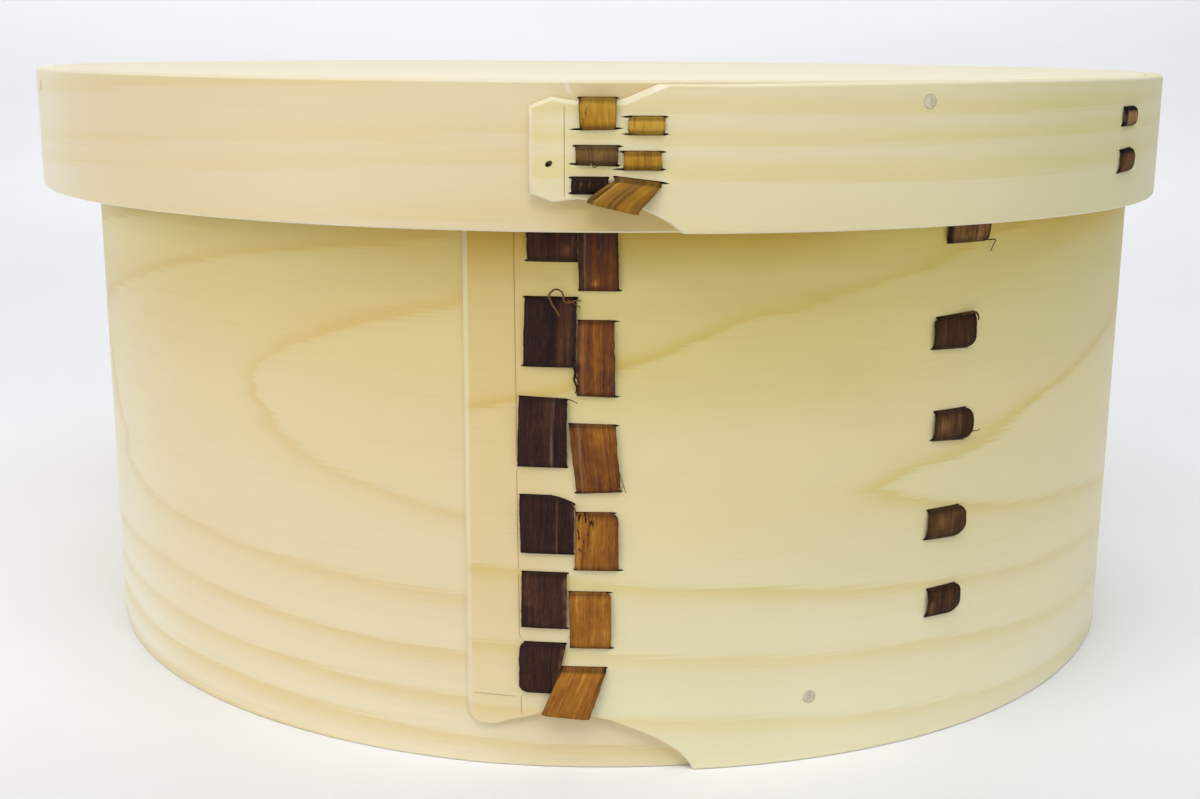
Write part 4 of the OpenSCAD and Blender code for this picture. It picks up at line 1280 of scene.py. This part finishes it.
# the springy fibre at the top of the second stitch, and torn bits on its right edge
fibre(left, BODY, [(-4.45, 81.6, 0.75), (-4.68, 82.6, 0.95), (-5.0, 83.6, 1.2), (-5.25, 85.05, 1.4), (-5.0, 85.9, 1.5), (-4.6, 86.2, 1.5), (-4.2, 85.75, 1.45), (-4.1, 85.1, 1.4), (-4.03, 84.3, 1.3), (-3.7, 83.95, 1.2), (-3.15, 84.3, 1.2), (-2.67, 84.3, 1.1)], 0.21, 0.12, 0.85, 0.06)
fibre(left, BODY, [(-3.75, 84.3, 1.0), (-3.4, 84.1, 1.15), (-3.0, 83.5, 1.1), (-2.7, 83.2, 1.0)], 0.13, 0.07, 0.8, 0.10)
fibre(left, BODY, [(-3.35, 74.6, 0.9), (-3.3, 73.5, 1.05), (-3.1, 72.3, 1.1), (-3.22, 71.0, 1.05), (-3.0, 69.7, 1.0), (-3.1, 68.6, 0.7)], 0.34, 0.12, 0.10)
fibre(left, BODY, [(-3.2, 73.9, 0.95), (-2.95, 72.9, 1.1), (-3.1, 71.8, 1.1), (-2.9, 70.9, 0.9)], 0.24, 0.10, 0.40)
fibre(left, BODY, [(-3.75, 67.5, 0.5), (-3.35, 67.3, 0.7), (-2.95, 66.9, 0.8)], 0.14, 0.07, 0.8, 0.12)
fibre(left, BODY, [(-3.4, 49.4, 0.6), (-3.15, 48.6, 0.8), (-3.1, 47.9, 0.7)], 0.16, 0.09, 0.7)
left.make("bark_left_body", "body_lap_bark_left", BARK_DARK, "container")


# ---- body, right column: brown to golden, the last stitch aslant
def paint_right(st, x, y):
    z = np.zeros_like(x)
    tone, pale, dark, fl = z.copy(), z.copy(), z.copy(), z.copy()
    if st == 4:      # topmost
        pale += 0.36 * near(x, 0.16, 0.026)
        tone += 0.20 * (1.0 - y) * ease((x - 0.2) / 0.2)
        tone += 0.60 * near(x, 0.42, 0.06) * near(y, 0.09, 0.05)
    elif st == 3:
        pale += 0.34 * near(x, 0.14, 0.026)
        tone += 0.16 * near(x, 0.52, 0.12)
    elif st == 2:
        pale += 0.40 * near(x, 0.15 + 0.04 * y, 0.026)
        tone += 0.22 * near(x, 0.65, 0.2) * ease((y - 0.55) / 0.4)
        dark += 0.3 * near(x, 0.08, 0.03)
    elif st == 1:
        tone += 0.14 * (1.0 - x)
        fl += 1.0 * ease((0.55 - x) / 0.2) * ease((y - 0.15) / 0.3)
        tone -= 0.10 * ease((x - 0.55) / 0.2)
    elif st == 0:
        tone += 0.06 * near(x, 0.4, 0.3)
        fl += 0.3 * near(x, 0.8, 0.15) * (y > 0.5)
    elif st == -1:   # aslant
        tone += 0.05 * y
        dark += 0.22 * near(x, 0.99, 0.08)
    return tone, pale, dark, fl


right = Soup()
head = []
al, ar, zl, zr = -5.95, -1.85, 10.88, 10.36
for d in (1.15, 0.5):
    head.append(sec(al, ar, zl, zr, "o", d, 0.74, None))
for f in (0, 30, 60, 90):
    t = math.radians(f)
    c = 0.40 * (1 - math.cos(t))
    head.append(sec(al + 0.08 * f / 90, ar + 0.06 * f / 90, zl + c, zr + c, "o", 0.40 * (1 - math.sin(t)) - 0.70, 0.76, -1, 0.0))
t0l, t0r = BODY_FROM, BODY_FROM
for i in range(1, 15):
    y = i / 15
    lift = 0.70 * (1.0 - float(ease((y - 0.55) / 0.42))) + 0.10 * math.sin(math.pi * y)
    head.append(sec(-5.87 + 1.56 * y, -1.79 + 1.35 * y, zl + 0.40 + (t0l - 0.8 - zl) * y, zr + 0.40 + (t0r - 0.8 - zr) * y, "o", -lift, 0.76, -1, y, long=9.0))
for f in (90, 60, 30, 0):
    t = math.radians(f)
    c = 0.40 * (1 - math.cos(t))
    head.append(sec(-4.30, -0.44, BODY_FROM - c, BODY_FROM - c, "o", 0.40 * (1 - math.sin(t)), 0.7, -1, 1.0))
head.append(sec(-4.30, -0.44, BODY_FROM, BODY_FROM, "o", 0.9, 0.6))
tmp = []
inside_run(tmp, BODY, (-4.25, -0.44, BODY_FROM, BODY_FROM), slit_low(BODY, BODY_RIGHT[0]), 0.6)
head += tmp
laced(right, BODY, BODY_RIGHT, 2.6, paint_right, head=head)
fibre(right, BODY, [(0.30, 56.8, 0.45), (0.43, 55.8, 0.6), (0.60, 54.6, 0.75), (0.86, 53.0, 0.8), (1.12, 51.4, 0.45)], 0.11, 0.05, 0.5, 0.0, 0.5)
fibre(right, BODY, [(0.30, 52.6, 0.5), (0.62, 52.1, 0.7), (0.9, 52.6, 0.6)], 0.09, 0.05, 0.8)
right.make("bark_right_body", "body_lap_bark_right", BARK_GOLD, "container")


# ---- body, single row over the inner end
def paint_end(st, x, y):
    z = np.zeros_like(x)
    tone, pale, dark, fl = z.copy(), z.copy(), z.copy(), z.copy()
    dark += 0.15 * near(x, 0.0, 0.04) + 0.50 * near(x, 1.0, 0.07)
    if st == 4:      # topmost
        dark += 0.80 * near(x, 0.05, 0.06)
        fl += 0.4
    elif st == 3:
        tone += 0.12 * near(x, 0.12, 0.08) - 0.06
    elif st == 2:
        tone += 0.36 * near(x, 0.22, 0.15) * near(y, 0.5, 0.30) - 0.16 * ease((x - 0.6) / 0.2)
    elif st == 1:
        tone += 0.20 * near(x, 0.30, 0.20) * near(y, 0.6, 0.30)
        dark += 0.40 * near(x, 0.36, 0.12) * near(y, 0.2, 0.12) + 0.30 * near(x, 0.78, 0.10) * near(y, 0.6, 0.20)
    elif st == 0:
        tone += 0.32 * near(x, 0.10, 0.09) * ease((0.7 - y) / 0.3) - 0.08
    return tone, pale, dark, fl


def paint_lid_end(st, x, y):
    z = np.zeros_like(x)
    tone, pale, dark, fl = z.copy(), z.copy(), z.copy(), z.copy()
    if st == 1:
        dark += 0.85 * near(x, 0.08, 0.09) + 0.70 * near(x, 0.92, 0.10) + 0.75 * ease((y - 0.74) / 0.14)
    else:
        dark += 0.35 * near(x, 0.98, 0.08) + 0.45 * ease((y - 0.84) / 0.10)
        pale += 0.25 * near(x, 0.30, 0.06) * ease((0.7 - y) / 0.3)
    return tone, pale, dark, fl


end = Soup()
al, ar, zl, zr = slit_low(BODY, BODY_END[0])
tail = [sec(al, ar, 18.5, 18.5, "i", 0.0, 0.4), sec(al, ar, 20.5, 20.5, "i", -0.02, 0.4), sec(al, ar, zl - RHO, zr - RHO, "i", 0.0, 0.4)]
for f in (60, 30, 0):
    t = math.radians(f)
    tail.append(sec(al, ar, zl - RHO * (1 - math.cos(t)), zr - RHO * (1 - math.cos(t)), "i", RHO * (1 - math.sin(t)), 0.4))
tail.append(sec(al, ar, zl, zr, "i", 1.0, 0.4))
laced(end, BODY, BODY_END, 4.2, paint_end, head=tail)
fibre(end, BODY, [(33.8, 92.5, 0.5), (34.45, 92.35, 0.8), (35.25, 92.25, 0.9), (35.05, 91.2, 0.75), (34.95, 90.2, 0.45)], 0.14, 0.06, 0.3, 0.0, 0.3)
fibre(end, BODY, [(33.1, 57.8, 0.7), (33.72, 57.9, 0.9), (34.27, 57.85, 0.95), (34.86, 57.95, 0.8)], 0.13, 0.06, 0.5, 0.0, 0.1)
fibre(end, BODY, [(31.8, 79.4, 0.6), (32.5, 79.7, 0.95), (33.28, 79.6, 1.05), (33.66, 78.8, 0.95), (33.78, 78.2, 0.7)], 0.30, 0.16, 0.5)
end.make("bark_end_body", "body_end_bark", BARK_BROWN, "container")


# ---- lid
def paint_lid_left(st, x, y):
    z = np.zeros_like(x)
    tone, pale, dark, fl = z.copy(), z.copy(), z.copy(), z.copy()
    if st == 2:
        tone += 0.10 * y
        fl += 0.5 * near(x, 0.16, 0.10)
        dark += 0.25 * near(x, 0.02, 0.06)
    elif st == 1:
        tone += -0.10 * (1.0 - y)
        pale += 0.10 * near(x, 0.5, 0.3)
    elif st == 0:
        tone -= 0.10
    return tone, pale, dark, fl


lid_left = Soup()
top = LID_LEFT[-1]
al, ar, zl, zr = slit_high(LID, top)
foot = [sec(al, ar, zl, zr, "o", 1.3, top["tone"]), sec(al, ar, zl, zr, "o", 2.3, top["tone"])]
laced(lid_left, LID, LID_LEFT, 6.1, paint_lid_left, foot=foot)
fibre(lid_left, LID, [(-0.35, 107.3, 0.62), (-0.10, 106.75, 0.85), (0.18, 106.95, 0.66)], 0.15, 0.10, 0.40, 0.10)
lid_left.make("bark_left_lid", "lid_lap_bark_left", BARK_LID, "lid")


def paint_lid_right(st, x, y):
    z = np.zeros_like(x)
    tone, pale, dark, fl = z.copy(), z.copy(), z.copy(), z.copy()
    if st == -1:
        # painted shade in the fold's valley, where prof_fold sinks the strip
        dark += 0.85 * near(x, 0.105, 0.022) * ease(y / 0.2) * ease((0.97 - y) / 0.2)
        pale += 0.30 * near(x, 0.15, 0.02)
        tone -= 0.10 * near(x, 0.04, 0.05)
        dark += 0.12 * near(x, 0.55, 0.03) * near(y, 0.35, 0.3)
    elif st == 1:
        fl += 0.5 * near(x, 0.1, 0.08)
        tone += 0.05
    return tone, pale, dark, fl


def prof_fold(x, y):
    return (0.20 * near(x, 0.03, 0.055) - 0.20 * near(x, 0.115, 0.03)) * float(ease(y / 0.12))


lid_right = Soup()
head = []
zl, zr = LZ + 5.15, LZ + 3.30
for d in (1.55, 0.7):
    head.append(sec(-0.58, 3.14, zl, zr, "o", d, 0.66))
for f in (0, 30, 60, 90):
    t = math.radians(f)
    c = 0.40 * (1 - math.cos(t))
    head.append(sec(-0.58 + 0.06 * f / 90, 3.14 + 0.05 * f / 90, zl + c, zr + c, "o", 0.40 * (1 - math.sin(t)) - 0.70, 0.68, -1, 0.0, prof_fold))
t0l, t0r = LID_FROM + 0.35, LID_FROM - 0.55
for i in range(1, 15):
    y = i / 15
    lift = 0.70 * (1.0 - float(ease((y - 0.62) / 0.35))) + 0.04 * math.sin(math.pi * y)
    # the left edge is curved: it leans over more near the top
    head.append(sec(-0.52 + 1.90 * (0.72 * y + 0.28 * y * y), 3.19 + 1.58 * y, zl + 0.40 + (t0l - 0.8 - zl) * y, zr + 0.40 + (t0r - 0.8 - zr) * y, "o", -lift, 0.67, -1, y, prof_fold, long=4.5))
for f in (90, 60, 30, 0):
    t = math.radians(f)
    c = 0.40 * (1 - math.cos(t))
    head.append(sec(1.38, 4.8, t0l - c, t0r - c, "o", 0.40 * (1 - math.sin(t)), 0.66, -1, 1.0))
head.append(sec(1.38, 4.8, t0l, t0r, "o", 0.9, 0.6))
tmp = []
inside_run(tmp, LID, (1.38, 4.8, t0l, t0r), slit_low(LID, LID_RIGHT[0]), 0.6)
head += tmp
laced(lid_right, LID, LID_RIGHT, 7.7, paint_lid_right, head=head)
lid_right.make("bark_right_lid", "lid_lap_bark_right", BARK_LID, "lid")

lid_end = Soup()
laced(lid_end, LID, LID_END, 9.4, paint_lid_end)
lid_end.make("bark_end_lid", "lid_end_bark", BARK_BROWN, "lid")

# ---------------------------------------------------------------- floor, light, camera
def floor():
    """A wide pale floor that rises gently far from the object, so that no horizon shows."""
    verts, faces = [], []
    n = 96
    prof = [(0.0, 0.0), (0.4, 0.0), (0.9, 0.0), (1.4, 0.006), (1.9, 0.05), (2.3, 0.16), (2.6, 0.36), (2.8, 0.66), (2.86, 1.0)]
    verts.append((0, 0, 0))
    for r, z in prof[1:]:
        for i in range(n):
            a = 2 * math.pi * i / n
            verts.append((r * math.sin(a), -r * math.cos(a), z))
    for i in range(n):
        faces.append((0, 1 + i, 1 + (i + 1) % n))
    for k in range(len(prof) - 2):
        for i in range(n):
            j = (i + 1) % n
            a, b = 1 + k * n, 1 + (k + 1) * n
            faces.append((a + i, b + i, b + j, a + j))
    me = bpy.data.meshes.new("floor")
    me.from_pydata(verts, [], faces)
    me.update()
    me.shade_smooth()
    m, nt = new_material("pale_floor")
    g = Net(nt)
    pos = g.node("ShaderNodeTexCoord").outputs["Object"]
    tint = g.noise(pos, 3.0, 2.0)
    g.finish(g.mix(g.span(tint, 0.3, 0.7), (0.872, 0.875, 0.902), (0.888, 0.892, 0.918)), 0.75, None, 0.1)
    me.materials.append(m)
    ob = bpy.data.objects.new("floor", me)
    bpy.context.scene.collection.objects.link(ob)


floor()


def area(name, loc, target, size, power, colour):
    d = bpy.data.lights.new(name, "AREA")
    d.shape = "RECTANGLE"
    d.size, d.size_y = size
    d.energy = power
    d.color = colour
    ob = bpy.data.objects.new(name, d)
    ob.location = loc
    ob.rotation_mode = "QUATERNION"
    ob.rotation_quaternion = (Vector(target) - Vector(loc)).to_track_quat("-Z", "Y")
    ob.visible_camera = False
    bpy.context.scene.collection.objects.link(ob)
    return ob


SKY, SKY_COLOUR = 0.03, (1.0, 1.0, 1.0)
ZENITH, ZENITH_COLOUR = 0.0, (1.0, 1.0, 1.0)
LIGHTS = (
    ("soft_top", (0.0, 0.0, 1.40), (1.6, 1.6), 0.0, (1.0, 1.0, 1.0), (0.0, 0.0, 0.06)),
    ("soft_high", (0.0, -0.70, 1.35), (1.4, 0.8), 15.6, (0.97, 1.0, 1.02), (0.0, 0.0, 0.06)),
    ("soft_front", (0.0, -1.15, 0.95), (1.6, 0.9), 0.0, (1.0, 1.0, 1.0), (0.0, 0.0, 0.06)),
    ("soft_left", (-1.30, -0.80, 0.75), (1.0, 1.0), 7.6, (1.0, 0.93, 0.86), (0.0, 0.0, 0.06)),
    ("soft_right", (1.30, -0.80, 0.75), (1.0, 1.0), 2.6, (0.92, 1.0, 1.0), (0.0, 0.0, 0.06)),
    ("soft_back", (0.0, 1.10, 1.10), (1.6, 0.8), 12.0, (1.0, 1.0, 1.0), (0.0, 0.0, 0.06)),
    ("soft_wall", (-0.15, 1.70, 1.30), (3.0, 0.6), 22.5, (1.0, 1.0, 1.0), (-0.15, 3.00, 0.0)),
)
for name, loc, size, power, colour, target in LIGHTS:
    if power > 0.0:
        area(name, loc, target, size, power, colour)


def studio():
    """Soft light from all round; the term for more of it from above is set by ZENITH, here 0."""
    world = bpy.data.worlds.new("studio")
    bpy.context.scene.world = world
    world.use_nodes = True
    wt = world.node_tree
    wt.nodes.clear()
    g = Net(wt)
    sep = g.node("ShaderNodeSeparateXYZ")
    g.put(sep.inputs[0], g.node("ShaderNodeTexCoord").outputs["Generated"])
    up = g.math("POWER", g.math("MAXIMUM", sep.outputs[2], 0.0), 2.0)
    even, over = g.node("ShaderNodeBackground"), g.node("ShaderNodeBackground")
    g.put(even.inputs[0], (*SKY_COLOUR, 1.0))
    g.put(even.inputs[1], SKY)
    g.put(over.inputs[0], (*ZENITH_COLOUR, 1.0))
    g.put(over.inputs[1], g.math("MULTIPLY", up, ZENITH))
    both = g.node("ShaderNodeAddShader")
    wt.links.new(even.outputs[0], both.inputs[0])
    wt.links.new(over.outputs[0], both.inputs[1])
    wt.links.new(both.outputs[0], g.node("ShaderNodeOutputWorld").inputs["Surface"])


studio()
bpy.context.scene.view_settings.view_transform = "Standard"
bpy.context.scene.view_settings.look = "None"
bpy.context.scene.view_settings.exposure = 0.0

cam = bpy.data.cameras.new("camera")
cam.sensor_fit = "HORIZONTAL"
cam.sensor_width = 36.0
cam.lens = 1576.2 / 1200.0 * 36.0
cam.clip_start, cam.clip_end = 0.01, 20.0
co = bpy.data.objects.new("camera", cam)
bpy.context.scene.collection.objects.link(co)
pitch, roll, yaw = 0.2234, 0.0066, -0.0022
fwd = Vector((math.sin(yaw) * math.cos(pitch), math.cos(yaw) * math.cos(pitch), -math.sin(pitch)))
rgt = Vector((math.cos(yaw), -math.sin(yaw), 0.0))
upv = rgt.cross(fwd)
r2 = math.cos(roll) * rgt + math.sin(roll) * upv
u2 = -math.sin(roll) * rgt + math.cos(roll) * upv
mat = Matrix((r2, u2, -fwd)).transposed().to_4x4()
mat.translation = Vector((-1.67, -372.9, 125.9)) * MM
co.matrix_world = mat
bpy.context.scene.camera = co
